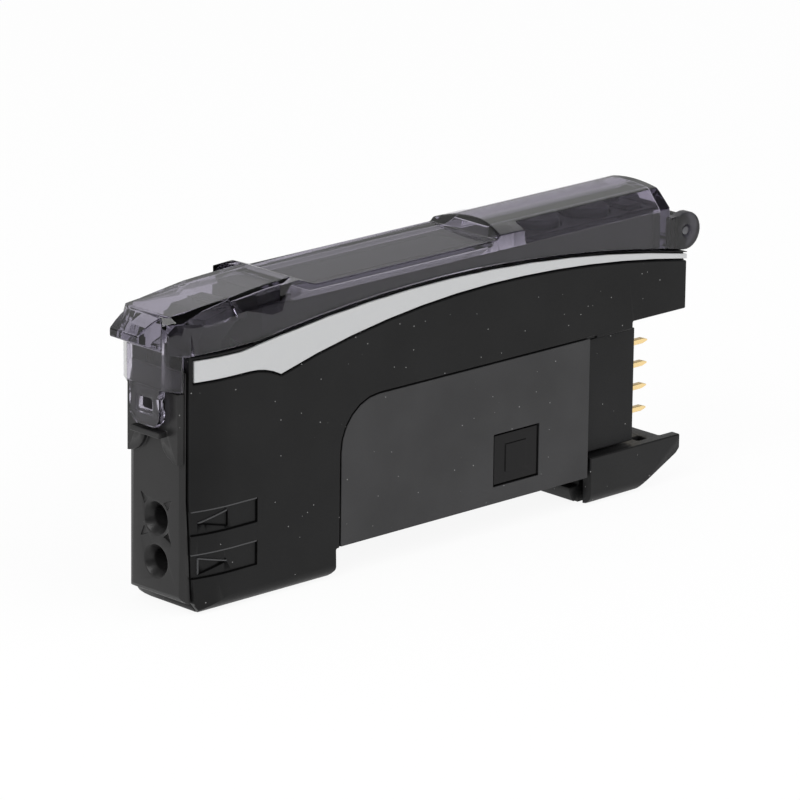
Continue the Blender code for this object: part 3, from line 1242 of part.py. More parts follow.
def rail_hook():
    """Sprung hook: ears, shelf, claw and the tongue that runs in the case."""
    rear = HOOK_X + HOOK_LENGTH
    slope = HOOK_X + HOOK_SLOPE_START
    outline = [(HOOK_X, -FOOT_DEPTH), (slope, -FOOT_DEPTH + SEAM), (slope + CUT_MARGIN, -HOOK_SLOPE_FOOT)]
    outline += [(rear - GAP, HOOK_EAR_BASE_Z - GAP), (rear, HOOK_EAR_BASE_Z), (rear, HOOK_TOP_Z)]
    outline += [(HOOK_X, HOOK_TOP_Z)]
    hook = prism("rail_hook", outline, "Y", -HALF, HALF)
    claw_half = CLAW_WIDTH / 2
    tip = HOOK_X - CLAW_REACH
    claw = [(HOOK_X + WALL, CLAW_TOP_Z), (tip, CLAW_TOP_Z), (tip, CLAW_TOP_Z - CLAW_NOSE)]
    claw += [(tip + CLAW_NOSE, -FOOT_DEPTH + SEAM), (HOOK_X + WALL, -FOOT_DEPTH + SEAM)]
    join(hook, prism("hook_claw", claw[::-1], "Y", -claw_half, claw_half))
    tongue_z = FLOOR + GAP
    tongue_front = SIDE_END_X - WALL - TONGUE_LENGTH
    half = TONGUE_WIDTH / 2
    tongue_top = tongue_z + TONGUE_THICKNESS
    tongue = box("hook_tongue", (tongue_front, -half, tongue_z), (HOOK_X + WALL, half, tongue_top))
    end_top = tongue_top + GAP + 2 * (SPRING_RADIUS + SPRING_WIRE_RADIUS)
    spring_reach = SPRING_RADIUS + SPRING_WIRE_RADIUS
    low = (tongue_front - TONGUE_END, SPRING_Y - spring_reach, tongue_z)
    end = box("tongue_end", low, (tongue_front + GAP, SPRING_Y + spring_reach, end_top))
    join(hook, tongue, end)
    gap_low = (HOOK_X + SHELF_LENGTH, -HALF + HOOK_EAR_THICKNESS, -FOOT_DEPTH - CUT_MARGIN)
    gap_high = (rear + CUT_MARGIN, HALF - HOOK_EAR_THICKNESS, HOOK_TOP_Z + CUT_MARGIN)
    cut(hook, box("ear_gap", gap_low, gap_high))
    for name, side in (("near", -1), ("far", 1)):
        inner = claw_half
        outer = claw_half + HOOK_NOTCH_WIDTH
        reach = sorted((side * inner, side * outer))
        low = (HOOK_X - CUT_MARGIN, reach[0], -FOOT_DEPTH - CUT_MARGIN)
        cut(hook, box(f"hook_notch_{name}", low, (HOOK_X + HOOK_NOTCH_LENGTH, reach[1], tongue_z - SEAM)))
        corner = arc((side * (HALF - WALL), -FOOT_DEPTH + WALL), WALL, 270 + side * 90, 270, 4)
        outside = side * (HALF + CUT_MARGIN)
        below = -FOOT_DEPTH - CUT_MARGIN
        corner = [(outside, corner[0][1])] + corner + [(corner[-1][0], below), (outside, below)]
        cut(hook, prism(f"hook_round_{name}", corner, "X", HOOK_X - CUT_MARGIN, slope + CUT_MARGIN))
    slot_x = HOOK_X + SHELF_SLOT_X
    slot_y = HALF - HOOK_EAR_THICKNESS
    low = (slot_x, -slot_y, HOOK_TOP_Z - SHELF_SLOT_DEPTH)
    high = (slot_x + SHELF_SLOT_LENGTH, -slot_y + SHELF_SLOT_WIDTH, HOOK_TOP_Z + CUT_MARGIN)
    cut(hook, box("shelf_slot", low, high))
    finish(hook, (0.024, 0.024, 0.026), 0.45)
    pivot("hook_guide", (HOOK_X, 0.0, 0.0), hook)
    return hook


def hook_spring():
    """Coil spring between the tongue's end and the case's rear wall."""
    start = SIDE_END_X - WALL - TONGUE_LENGTH + GAP + SPRING_WIRE_RADIUS + BORE_GAP
    end = SIDE_END_X - WALL - SPRING_WIRE_RADIUS - BORE_GAP
    z = FLOOR + GAP + TONGUE_THICKNESS + GAP + SPRING_RADIUS + SPRING_WIRE_RADIUS
    count = SPRING_TURNS * SPRING_STEPS
    curve = bpy.data.curves.new("hook_spring", "CURVE")
    curve.dimensions = "3D"
    curve.bevel_depth = SPRING_WIRE_RADIUS
    curve.bevel_resolution = 2
    curve.use_fill_caps = True
    spline = curve.splines.new("POLY")
    spline.points.add(count)
    for step, point in enumerate(spline.points):
        angle = 2 * math.pi * step / SPRING_STEPS
        x = start + (end - start) * step / count
        point.co = (x, SPRING_RADIUS * math.cos(angle), SPRING_RADIUS * math.sin(angle), 1.0)
    guide = bpy.data.objects.new("hook_spring", curve)
    guide.matrix_world = Matrix.Translation((0.0, SPRING_Y, z))
    spring = mesh_of_curve(guide, math.radians(60))
    return finish(spring, (0.6, 0.6, 0.6), 0.3, 1.0)


def cover_top_line():
    """Top of the cover from its front tip to its rear end, side view."""
    hood_end = WINDOW_FRONT_X - HOOD_SLOPE
    tip = COVER_FRONT_X - VISOR_REACH
    points = []
    for x in spread(tip, HOOD_START_X, 6)[:-1]:
        share = (x - tip) / (HOOD_START_X - tip)
        points.append((x, VISOR_TOP_Z + (HOOD_FRONT_Z - VISOR_TOP_Z) * (1 - (1 - share) ** VISOR_BULGE)))
    for x in spread(HOOD_START_X, hood_end, 5):
        share = (x - HOOD_START_X) / (hood_end - HOOD_START_X)
        points.append((x, HOOD_FRONT_Z + (HOOD_REAR_Z - HOOD_FRONT_Z) * (1 - (1 - share) ** HOOD_BULGE)))
    points.append((WINDOW_FRONT_X, WINDOW_Z))
    window_end = WINDOW_FRONT_X + WINDOW_LENGTH
    points.append((window_end, WINDOW_Z))
    crown = REAR_HOOD_CROWN_Z - WINDOW_Z
    points.append((window_end + crown, REAR_HOOD_CROWN_Z))
    return points


def cover_side_view():
    """Outline of the cover from the side, with its knuckle."""
    top = cover_top_line() + [(HOOD_END_X - GAP, REAR_HOOD_CROWN_Z), (HOOD_END_X, WINDOW_Z + GAP)]
    top.append((HOOD_END_X + GAP, KNUCKLE_NOTCH_Z))
    knuckle = arc((HINGE_X, HINGE_Z), KNUCKLE_RADIUS, 120, -100, 16)
    base = [(x, edge_z(x)) for x in edge_line(HINGE_X - KNUCKLE_RADIUS, COVER_FRONT_X)]
    front = [(COVER_FRONT_X, VISOR_ROOT_Z), (COVER_FRONT_X - VISOR_REACH, VISOR_BASE_Z)]
    return top + knuckle + base + front


def cover_plan():
    """Plan of the cover: straight visor, slanted corners, toe-in, full width."""
    tip = COVER_FRONT_X - VISOR_REACH
    half = [(tip - CUT_MARGIN, VISOR_HALF_WIDTH), (tip, VISOR_HALF_WIDTH)]
    half += [(COVER_FRONT_X, COVER_FRONT_HALF_WIDTH), (COVER_CORNER_X, COVER_CORNER_HALF_WIDTH)]
    side = toe_plan(COVER_CORNER_X, HALF - COVER_CORNER_HALF_WIDTH, TOE_LENGTH, HINGE_X + 2 * KNUCKLE_RADIUS)
    half += [point for point in side[::-1] if point[1] > 0][2:]
    return [(x, -y) for x, y in half] + half[::-1]


def hood_facet(name, side, start, end, fall, slant):
    """Cutter above a slanted plane that takes off one upper edge of a hood.

    The plane falls towards the front from the crease by fall; its end runs inwards by slant.
    """
    outside = HALF + CUT_MARGIN
    lean = FACET_RISE / (HALF - FACET_TOP_HALF_WIDTH)
    top = FACET_RISE + 2 * CUT_MARGIN
    profile = [(outside, -lean * CUT_MARGIN), (HALF - top / lean, top), (outside, top)]
    cutter = prism(name, [(side * y, z) for y, z in profile], "X", 0.0, MM)
    matrix = cutter.matrix_world.copy()
    for vertex in cutter.data.vertices:
        place = matrix @ vertex.co
        inward = (HALF - abs(place.y)) * slant
        x = start + (end + inward - start) * place.x / MM
        z = place.z + FACET_BASE_Z + fall * (x - FACET_CREASE_X)
        vertex.co = matrix.inverted() @ Vector((x, place.y, z))
    return cutter


def hood_facets():
    """Facet cutters of the front and rear hoods, both sides."""
    cutters = []
    tip = COVER_FRONT_X - VISOR_REACH - CUT_MARGIN
    end = FRONT_FACET_END_X
    for name, side in (("near", -1), ("far", 1)):
        cutters.append(hood_facet(f"nose_facet_{name}", side, tip, end, FACET_FALL, FRONT_FACET_SLANT))
        cutters.append(hood_facet(f"front_facet_{name}", side, tip - MM, end, 0.0, FRONT_FACET_SLANT))
        rear = HOOD_END_X + CUT_MARGIN
        cutters.append(hood_facet(f"rear_facet_{name}", side, REAR_FACET_START_X, rear, 0.0, 0.0))
    return cutters


def crown_cutter():
    """Cutter that gives the rear hood its crowned top."""
    center_z = REAR_HOOD_CROWN_Z - REAR_HOOD_CROWN_RADIUS
    outside = HALF + CUT_MARGIN
    crown = []
    for y in spread(-outside, outside, 12):
        crown.append((y, center_z + math.sqrt(REAR_HOOD_CROWN_RADIUS**2 - y**2)))
    top = REAR_HOOD_CROWN_Z + CUT_MARGIN
    outline = crown + [(outside, top), (-outside, top)]
    window_end = WINDOW_FRONT_X + WINDOW_LENGTH
    return prism("rear_crown", outline, "X", window_end - CUT_MARGIN, HOOD_END_X + 2 * CUT_MARGIN)


def cavity_section(name, low_x, high_x, drop):
    """Section of the cover's hollow along a stretch, with slanted upper corners."""
    half = HALF - COVER_WALL
    lean = FACET_RISE / (HALF - FACET_TOP_HALF_WIDTH)
    corner_z = FACET_BASE_Z - drop - COVER_WALL / 2
    rise = REAR_HOOD_CROWN_Z + GAP - corner_z
    points = [(half, 0.0), (half, corner_z), (half - rise / lean, corner_z + rise)]
    return prism(name, [(-y, z) for y, z in points] + points[::-1], "X", low_x, high_x)


def cover_cavity():
    """Hollow of the cover: inner side view crossed with its section and plan."""
    front = COVER_FRONT_X + COVER_WALL
    top = [(x, z - COVER_WALL) for x, z in cover_top_line() if x > HOOD_START_X + CUT_MARGIN]
    side_view = [(front, 0.0), (front, top[0][1] - COVER_WALL)] + top
    inner_end = HOOD_END_X - COVER_WALL
    side_view += [(inner_end, REAR_HOOD_CROWN_Z - COVER_WALL), (inner_end, 0.0)]
    cavity = prism("cover_cavity", side_view, "Y", -HALF, HALF)
    section = cavity_section("cavity_rear", FACET_CREASE_X, HINGE_X, 0.0)
    drop = FACET_FALL * (FACET_CREASE_X - COVER_CORNER_X) / 2
    join(section, cavity_section("cavity_front", COVER_FRONT_X, FACET_CREASE_X + GAP, drop))
    half = [(front - CUT_MARGIN, COVER_FRONT_HALF_WIDTH), (front, COVER_FRONT_HALF_WIDTH)]
    half.append((COVER_CORNER_X + COVER_WALL, COVER_CORNER_HALF_WIDTH - COVER_WALL * 0.8))
    half += [(COVER_CORNER_X + TOE_LENGTH, HALF - COVER_WALL + GAP), (HINGE_X, HALF - COVER_WALL + GAP)]
    plan = prism("cavity_plan", [(x, -y) for x, y in half] + half[::-1], "Z", -CUT_MARGIN, WINDOW_Z + 2 * MM)
    keep(cavity, section, plan)
    return cavity


def skirt_plan(offset):
    """Plan of the front skirt, moved inwards by an offset."""
    front = COVER_FRONT_X + offset
    half = [(front, COVER_FRONT_HALF_WIDTH - offset / 2), (COVER_CORNER_X + offset, COVER_CORNER_HALF_WIDTH - offset / 2)]
    return half


def front_skirt():
    """Front wall of the cover with its slanted corners."""
    outer = skirt_plan(0.0)
    inner = skirt_plan(COVER_WALL)
    rear = FACE_X - SKIRT_REAR_GAP
    outline = [(x, -y) for x, y in outer[::-1]] + outer
    outline += [(rear, COVER_CORNER_HALF_WIDTH), (rear, inner[1][1])]
    outline += [inner[0], (inner[0][0], -inner[0][1]), (rear, -inner[1][1]), (rear, -COVER_CORNER_HALF_WIDTH)]
    return prism("front_skirt", outline, "Z", SKIRT_BASE_Z, VISOR_ROOT_Z + COVER_WALL)


def front_tab():
    """Tongue below the skirt with cropped corners."""
    low = TAB_BASE_Z
    outline = [(TAB_HALF_WIDTH - TAB_CORNER, low), (TAB_HALF_WIDTH, low + TAB_CORNER)]
    outline += [(TAB_HALF_WIDTH, SKIRT_BASE_Z + COVER_WALL)]
    outline = [(-y, z) for y, z in outline] + outline[::-1]
    return prism("front_tab", outline, "X", COVER_FRONT_X, COVER_FRONT_X + COVER_WALL)


def tab_slot():
    """Slot in the tongue with a bevelled mouth."""
    low = (COVER_FRONT_X - CUT_MARGIN, -SLOT_LENGTH / 2, SLOT_Z - SLOT_HEIGHT / 2)
    high = (COVER_FRONT_X + COVER_WALL + CUT_MARGIN, SLOT_LENGTH / 2, SLOT_Z + SLOT_HEIGHT / 2)
    slot = box("tab_slot", low, high)
    half_length = SLOT_LENGTH / 2 + SLOT_BEVEL
    half_height = SLOT_HEIGHT / 2 + SLOT_BEVEL
    low = (COVER_FRONT_X - CUT_MARGIN, -half_length, SLOT_Z - half_height)
    mouth = box("tab_slot_mouth", low, (COVER_FRONT_X + SLOT_BEVEL / 2, half_length, SLOT_Z + half_height))
    return slot, mouth


def protective_cover():
    """Smoked cover with two hoods, a flat window, a front tongue and hinge knuckles."""
    cover = prism("protective_cover", cover_side_view(), "Y", -HALF - CUT_MARGIN, HALF + CUT_MARGIN)
    keep(cover, prism("cover_plan", cover_plan(), "Z", 0.0, REAR_HOOD_CROWN_Z + CUT_MARGIN))
    cut(cover, crown_cutter(), *hood_facets())
    cut(cover, cover_cavity())
    ear_inside = HALF - KNUCKLE_THICKNESS
    low = (HOOD_END_X + GAP, -ear_inside, 0.0)
    high = (HINGE_X + 2 * KNUCKLE_RADIUS, ear_inside, REAR_HOOD_CROWN_Z)
    cut(cover, box("ear_space", low, high))
    join(cover, front_skirt(), front_tab())
    pin_hole = rod(
        "knuckle_bore", "Y", (HINGE_X, -HALF - CUT_MARGIN, HINGE_Z), CASE_WIDTH + 2 * CUT_MARGIN,
        HINGE_PIN_RADIUS + BORE_GAP,
    )
    cut(cover, pin_hole, *tab_slot())
    finish(cover, (0.16, 0.155, 0.18), 0.12, 0.0, 0.45, 0.5)
    pivot("cover_pivot", (HINGE_X, 0.0, HINGE_Z), cover)
    return cover


def hinge_pin():
    """Steel pin through the knuckles and the lug."""
    reach = HALF - SEAM
    pin = rod("hinge_pin", "Y", (HINGE_X, -reach, HINGE_Z), 2 * reach, HINGE_PIN_RADIUS)
    return finish(pin, (0.1, 0.1, 0.11), 0.4, 1.0)


def build():
    """Make every piece."""
    main_case()
    side_cover()
    stripe("near", -1)
    stripe("far", 1)
    side_label()
    link_window("near", -1)
    link_window("far", 1)
    fibre_block()
    clamp = fibre_clamp()
    pivot("clamp_guide", (CLAMP_X, 0.0, CLAMP_BASE_Z), clamp)
    lever = lock_lever()
    pivot("lever_pivot", (LEVER_X, 0.0, LEVER_Z), lever)
    lever_axle()
    optics_holder()
    diode("light_emitter", FIBRE_UPPER_Z, (0.75, 0.2, 0.12))
    diode("light_receiver", FIBRE_LOWER_Z, (0.05, 0.05, 0.06))
    receiver_shield()
    main_board()
    board_parts()
    board_header()
    display_board()
    display_module()
    display_lens()
    operation_panel()
    switches()
    key_rocker()
    key_tune()
    for name, y in small_keys():
        small_key(name, y)
    connector_housing()
    for index in range(PIN_COUNT):
        contact_pin(index)
    rail_hook()
    hook_spring()
    protective_cover()
    hinge_pin()


build()
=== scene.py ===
"""Looks of a fibre optic sensor amplifier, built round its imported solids.

Every size is in metres, in the frame of the solids: +X runs along the body towards the plug, the near
side faces -Y and +Z is up, away from the rail.
"""

import sys

import logging
import math
from collections.abc import Callable, Iterable, Sequence
from dataclasses import dataclass, field
from enum import Enum

import bmesh
import bpy
from mathutils import Matrix, Vector
from mathutils.bvhtree import BVHTree


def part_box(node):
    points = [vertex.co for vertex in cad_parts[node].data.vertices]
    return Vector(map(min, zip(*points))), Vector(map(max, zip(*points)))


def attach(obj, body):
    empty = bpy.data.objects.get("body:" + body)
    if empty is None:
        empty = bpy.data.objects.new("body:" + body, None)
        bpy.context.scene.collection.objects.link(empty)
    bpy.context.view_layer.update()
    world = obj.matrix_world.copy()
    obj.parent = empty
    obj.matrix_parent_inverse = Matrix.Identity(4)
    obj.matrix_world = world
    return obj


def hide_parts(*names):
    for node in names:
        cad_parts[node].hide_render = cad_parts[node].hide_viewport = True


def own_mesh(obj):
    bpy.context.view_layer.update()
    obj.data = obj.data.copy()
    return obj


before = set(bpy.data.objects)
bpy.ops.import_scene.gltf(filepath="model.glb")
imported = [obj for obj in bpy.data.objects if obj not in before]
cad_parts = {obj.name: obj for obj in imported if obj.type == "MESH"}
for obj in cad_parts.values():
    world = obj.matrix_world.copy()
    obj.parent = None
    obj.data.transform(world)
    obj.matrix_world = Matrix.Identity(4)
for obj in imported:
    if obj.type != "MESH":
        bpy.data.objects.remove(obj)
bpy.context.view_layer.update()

MM = 0.001
LOG = logging.getLogger("amplifier")

Colour = tuple[float, float, float]
Point = tuple[float, float, float]
Flat = tuple[float, float]

WHITE = (1.0, 1.0, 1.0)
# Range that most of a noise's values lie in
NOISE_RANGE = (0.3, 0.7)


class Body(Enum):
    """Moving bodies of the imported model."""

    CASE = "case"
    COVER = "cover"
    LEVER = "lever"
    CLAMP = "clamp"
    HOOK = "hook"
    ROCKER = "rocker"
    TUNE = "tune"
    MODE = "mode"
    OUTPUT = "output"


# Materials


class Tree:
    """Short way to write a node tree."""

    def __init__(self, tree: bpy.types.NodeTree) -> None:
        """Take a tree and empty it."""
        self.tree = tree
        tree.nodes.clear()

    def add(self, kind: str, options: dict | None = None, **values: object) -> bpy.types.Node:
        """Add a node, set its options, and set or link its inputs.

        Args:
            kind: Blender's name of the node type.
            options: Properties of the node itself.
            **values: Inputs by name, with _ for a space; a socket is linked and a value is set.

        Returns:
            The new node.
        """
        node = self.tree.nodes.new(kind)
        for key, value in (options or {}).items():
            setattr(node, key, value)
        for key, value in values.items():
            self.feed(node.inputs[key.replace("_", " ")], value)
        return node

    def feed(self, socket: bpy.types.NodeSocket, value: object) -> None:
        """Link a socket to an input, or set the input's value."""
        if isinstance(value, bpy.types.NodeSocket):
            self.tree.links.new(value, socket)
        elif socket.type == "RGBA" and len(value) == 3:
            socket.default_value = (*value, 1.0)
        else:
            socket.default_value = value

    def ramp(
        self, source: bpy.types.NodeSocket, low: float, high: float, start: float, end: float
    ) -> bpy.types.NodeSocket:
        """Map a value from one range to another, clamped."""
        node = self.add("ShaderNodeMapRange", Value=source)
        for key, value in (("From Min", low), ("From Max", high), ("To Min", start), ("To Max", end)):
            node.inputs[key].default_value = value
        return node.outputs["Result"]

    def math(self, operation: str, first: object, second: object = 0.0) -> bpy.types.NodeSocket:
        """Combine two values."""
        node = self.add("ShaderNodeMath", {"operation": operation})
        self.feed(node.inputs[0], first)
        self.feed(node.inputs[1], second)
        return node.outputs["Value"]

    def mixed(self, share: object, first: bpy.types.Node, second: bpy.types.Node) -> bpy.types.Node:
        """Mix two shaders by a factor."""
        node = self.add("ShaderNodeMixShader", Fac=share)
        self.feed(node.inputs[1], first.outputs[0])
        self.feed(node.inputs[2], second.outputs[0])
        return node


class Nodes(Tree):
    """Node tree of a material."""

    def __init__(self, name: str) -> None:
        """Start an empty material with its output node."""
        self.material = bpy.data.materials.new(name)
        self.material.use_nodes = True
        super().__init__(self.material.node_tree)
        self.output = self.add("ShaderNodeOutputMaterial")
        self.place = self.add("ShaderNodeTexCoord").outputs["Object"]

    def noise(
        self, size: float, detail: float = 2.0, stretch: Point = (1.0, 1.0, 1.0)
    ) -> bpy.types.NodeSocket:
        """Noise whose features are about one size across.

        Args:
            size: Width of a feature in metres.
            detail: Number of finer layers.
            stretch: Scale along each axis, below 1 to draw the pattern out.

        Returns:
            The factor output.
        """
        place = self.add("ShaderNodeMapping", Vector=self.place, Scale=stretch).outputs["Vector"]
        return self.add("ShaderNodeTexNoise", Vector=place, Scale=1.0 / size, Detail=detail).outputs["Fac"]

    def spread(self, noise: bpy.types.NodeSocket, start: float, end: float) -> bpy.types.NodeSocket:
        """Map the range that a noise mostly has to another one."""
        return self.ramp(noise, *NOISE_RANGE, start, end)

    def blend(self, factor: object, first: object, second: object) -> bpy.types.NodeSocket:
        """Mix two colours by a factor."""
        node = self.add("ShaderNodeMix", {"data_type": "RGBA"})
        self.feed(node.inputs["Factor"], factor)
        colours = [socket for socket in node.inputs if socket.type == "RGBA"]
        self.feed(colours[0], first)
        self.feed(colours[1], second)
        return next(socket for socket in node.outputs if socket.type == "RGBA")

    def specks(self, spacing: float, radius: float, share: float) -> bpy.types.NodeSocket:
        """Sparse small dots, such as dust.

        Args:
            spacing: Size of the cell that may hold a dot, in metres.
            radius: Radius of a dot as a share of the cell.
            share: Share of the cells that hold one.

        Returns:
            A factor that is 1 in a dot.
        """
        cells = self.add("ShaderNodeTexVoronoi", Vector=self.place, Scale=1.0 / spacing)
        near = self.ramp(cells.outputs["Distance"], radius * 0.6, radius, 1.0, 0.0)
        tone = self.add("ShaderNodeSeparateColor", Color=cells.outputs["Color"]).outputs["Red"]
        picked = self.math("LESS_THAN", tone, share)
        return self.math("MULTIPLY", near, picked)

    def bump(self, height: bpy.types.NodeSocket, depth: float, strength: float = 1.0) -> bpy.types.NodeSocket:
        """Normal disturbed by a height of 0 to 1 that stands for a depth in metres."""
        node = self.add("ShaderNodeBump", Height=height, Strength=strength, Distance=depth)
        return node.outputs["Normal"]

    def close(self, shader: bpy.types.Node, volume: bpy.types.Node | None = None) -> bpy.types.Material:
        """Join the shader, and a volume if there is one, to the output."""
        self.feed(self.output.inputs["Surface"], shader.outputs[0])
        if volume is not None:
            self.feed(self.output.inputs["Volume"], volume.outputs[0])
        return self.material

    def surface(self, **values: object) -> bpy.types.Material:
        """End the material with a principled shader that has these inputs."""
        return self.close(self.add("ShaderNodeBsdfPrincipled", **values))


@dataclass(frozen=True)
class MouldedPlastic:
    """Opaque moulded plastic with a fine spark-eroded grain and a little dust."""

    colour: Colour
    roughness: float = 0.42
    specular: float = 0.2
    grain: float = 0.16 * MM
    grain_depth: float = 0.0012 * MM
    cloud: float = 9.0 * MM
    cloud_share: float = 0.6
    cloud_gain: float = 1.35
    cloud_lift: float = 0.002
    dust_share: float = 0.4
    dust_tone: float = 0.5
    dust_cell: float = 0.9 * MM
    dust_radius: float = 0.07
    dust_cover: float = 0.7
    dust_roughness: float = 0.3

    def build(self, name: str) -> bpy.types.Material:
        """Make the material."""
        made = Nodes(name)
        lighter = tuple(self.cloud_gain * c + self.cloud_lift for c in self.colour)
        cloudy = made.ramp(made.noise(self.cloud, 3.0), 0.35, 0.65, 0.0, self.cloud_share)
        fine = made.noise(self.grain, 3.0)
        body = made.blend(cloudy, self.colour, lighter)
        dust = made.specks(self.dust_cell, self.dust_radius, self.dust_share)
        tone = tuple(max(self.dust_tone, c) for c in self.colour)
        colour = made.blend(made.math("MULTIPLY", dust, self.dust_cover), body, tone)
        rough = made.spread(fine, self.roughness - 0.05, self.roughness + 0.07)
        rough = made.math("ADD", rough, made.math("MULTIPLY", dust, self.dust_roughness))
        return made.surface(
            Base_Color=colour,
            Roughness=rough,
            Normal=made.bump(fine, self.grain_depth),
            Specular_IOR_Level=self.specular,
        )


@dataclass(frozen=True)
class SmokedPlastic:
    """Clear polished plastic with a smoky tint, faint wipe marks, dust and a hazy hinge end."""

    tint: Colour
    depth_tint: Colour
    density: float
    hinge_tint: Colour = (0.07, 0.067, 0.08)
    roughness: float = 0.0
    specular: float = 0.36
    ior: float = 1.45
    haze_start: float = 29.6 * MM
    haze_length: float = 1.0 * MM
    haze: float = 0.4
    wipe: float = 2.5 * MM
    streak_share: float = 0.12
    dust_cell: float = 1.1 * MM
    dust_radius: float = 0.06
    dust_share: float = 0.06
    dust_cover: float = 0.6
    dust_colour: Colour = (0.16, 0.16, 0.17)

    def build(self, name: str) -> bpy.types.Material:
        """Make the material."""
        made = Nodes(name)
        wiped = made.noise(self.wipe, 2.0, (0.3, 1.0, 1.0))
        rough = made.ramp(wiped, 0.5, 0.8, self.roughness, self.roughness + 0.02)
        along = made.add("ShaderNodeSeparateXYZ", Vector=made.place).outputs["X"]
        frosted = made.ramp(along, self.haze_start, self.haze_start + self.haze_length, 0.0, 1.0)
        rough = made.math("ADD", rough, made.math("MULTIPLY", frosted, self.haze))
        dust = made.specks(self.dust_cell, self.dust_radius, self.dust_share)
        streak = made.spread(wiped, 0.0, self.streak_share)
        paler = tuple(min(1.0, 1.12 * c) for c in self.tint)
        colour = made.blend(streak, self.tint, paler)
        colour = made.blend(frosted, colour, self.hinge_tint)
        colour = made.blend(made.math("MULTIPLY", dust, self.dust_cover), colour, self.dust_colour)
        shader = made.add(
            "ShaderNodeBsdfPrincipled",
            Base_Color=colour,
            Roughness=rough,
            IOR=self.ior,
            Specular_IOR_Level=self.specular,
            Transmission_Weight=1.0,
        )
        volume = made.add("ShaderNodeVolumeAbsorption", Color=self.depth_tint, Density=self.density)
        return made.close(shader, volume)


@dataclass(frozen=True)
class SatinPaint:
    """Pale satin film with a faint metallic flake."""

    colour: Colour
    roughness: float = 0.38
    metallic: float = 0.25
    flake: float = 0.05 * MM
    flake_depth: float = 0.0006 * MM
    flake_colour: Colour = (0.75, 0.76, 0.78)
    cloud: float = 5.0 * MM
    cloud_gain: float = 0.93

    def build(self, name: str) -> bpy.types.Material:
        """Make the material."""
        made = Nodes(name)
        flake = made.noise(self.flake, 1.0)
        cloud = made.spread(made.noise(self.cloud, 2.0), 0.0, 0.25)
        darker = tuple(self.cloud_gain * c for c in self.colour)
        colour = made.blend(cloud, self.colour, darker)
        colour = made.blend(made.ramp(flake, 0.62, 0.72, 0.0, 0.35), colour, self.flake_colour)
        rough = made.spread(flake, self.roughness - 0.06, self.roughness + 0.06)
        return made.surface(
            Base_Color=colour,
            Roughness=rough,
            Normal=made.bump(flake, self.flake_depth),
            Metallic=self.metallic,
        )


@dataclass(frozen=True)
class MetalSkin:
    """Plated or drawn metal with fine lines along one axis."""

    colour: Colour
    roughness: float
    stretch: Point = (0.05, 1.0, 1.0)
    tarnish: Colour = (0.35, 0.26, 0.14)
    tarnish_share: float = 0.2
    line: float = 0.04 * MM
    line_depth: float = 0.001 * MM
    stain: float = 0.8 * MM

    def build(self, name: str) -> bpy.types.Material:
        """Make the material."""
        made = Nodes(name)
        lines = made.noise(self.line, 2.0, self.stretch)
        stain = made.ramp(made.noise(self.stain, 3.0), 0.55, 0.8, 0.0, self.tarnish_share)
        colour = made.blend(stain, self.colour, self.tarnish)
        rough = made.spread(lines, self.roughness - 0.06, self.roughness + 0.1)
        return made.surface(
            Base_Color=colour,
            Roughness=rough,
            Normal=made.bump(lines, self.line_depth),
            Metallic=1.0,
        )


@dataclass(frozen=True)
class BoardResist:
    """Solder resist over copper tracks."""

    resist: Colour = (0.015, 0.10, 0.04)
    track: Colour = (0.03, 0.19, 0.07)
    track_pitch: float = 2.4 * MM
    track_height: float = 0.02 * MM
    weave: float = 0.3 * MM

    def build(self, name: str) -> bpy.types.Material:
        """Make the material."""
        made = Nodes(name)
        turned = made.add("ShaderNodeMapping", Vector=made.place, Rotation=(math.radians(90.0), 0.0, 0.0))
        tracks = made.add(
            "ShaderNodeTexBrick",
            {"offset": 0.35},
            Vector=turned.outputs["Vector"],
            Scale=1.0 / self.track_pitch,
            Mortar_Size=0.06,
            Mortar_Smooth=0.1,
        )
        line = tracks.outputs["Fac"]
        colour = made.blend(line, self.resist, self.track)
        weave = made.noise(self.weave, 2.0)
        return made.surface(
            Base_Color=colour,
            Roughness=made.spread(weave, 0.28, 0.42),
            Normal=made.bump(line, self.track_height, 0.6),
        )


@dataclass(frozen=True)
class DarkLens:
    """Dark polished window that hides what is behind it while it is off."""

    colour: Colour
    roughness: float = 0.08
    specular: float = 0.4
    smear: float = 1.6 * MM
    smear_depth: float = 0.002 * MM
    cloud: float = 7.0 * MM
    cloud_gain: float = 1.3

    def build(self, name: str) -> bpy.types.Material:
        """Make the material."""
        made = Nodes(name)
        smear = made.noise(self.smear, 3.0, (0.4, 1.0, 1.0))
        tone = made.spread(made.noise(self.cloud, 2.0), 0.0, 0.5)
        warmer = tuple(self.cloud_gain * c for c in self.colour)
        return made.surface(
            Base_Color=made.blend(tone, self.colour, warmer),
            Roughness=made.ramp(smear, 0.35, 0.75, self.roughness, self.roughness + 0.12),
            Normal=made.bump(smear, self.smear_depth),
            Specular_IOR_Level=self.specular,
        )


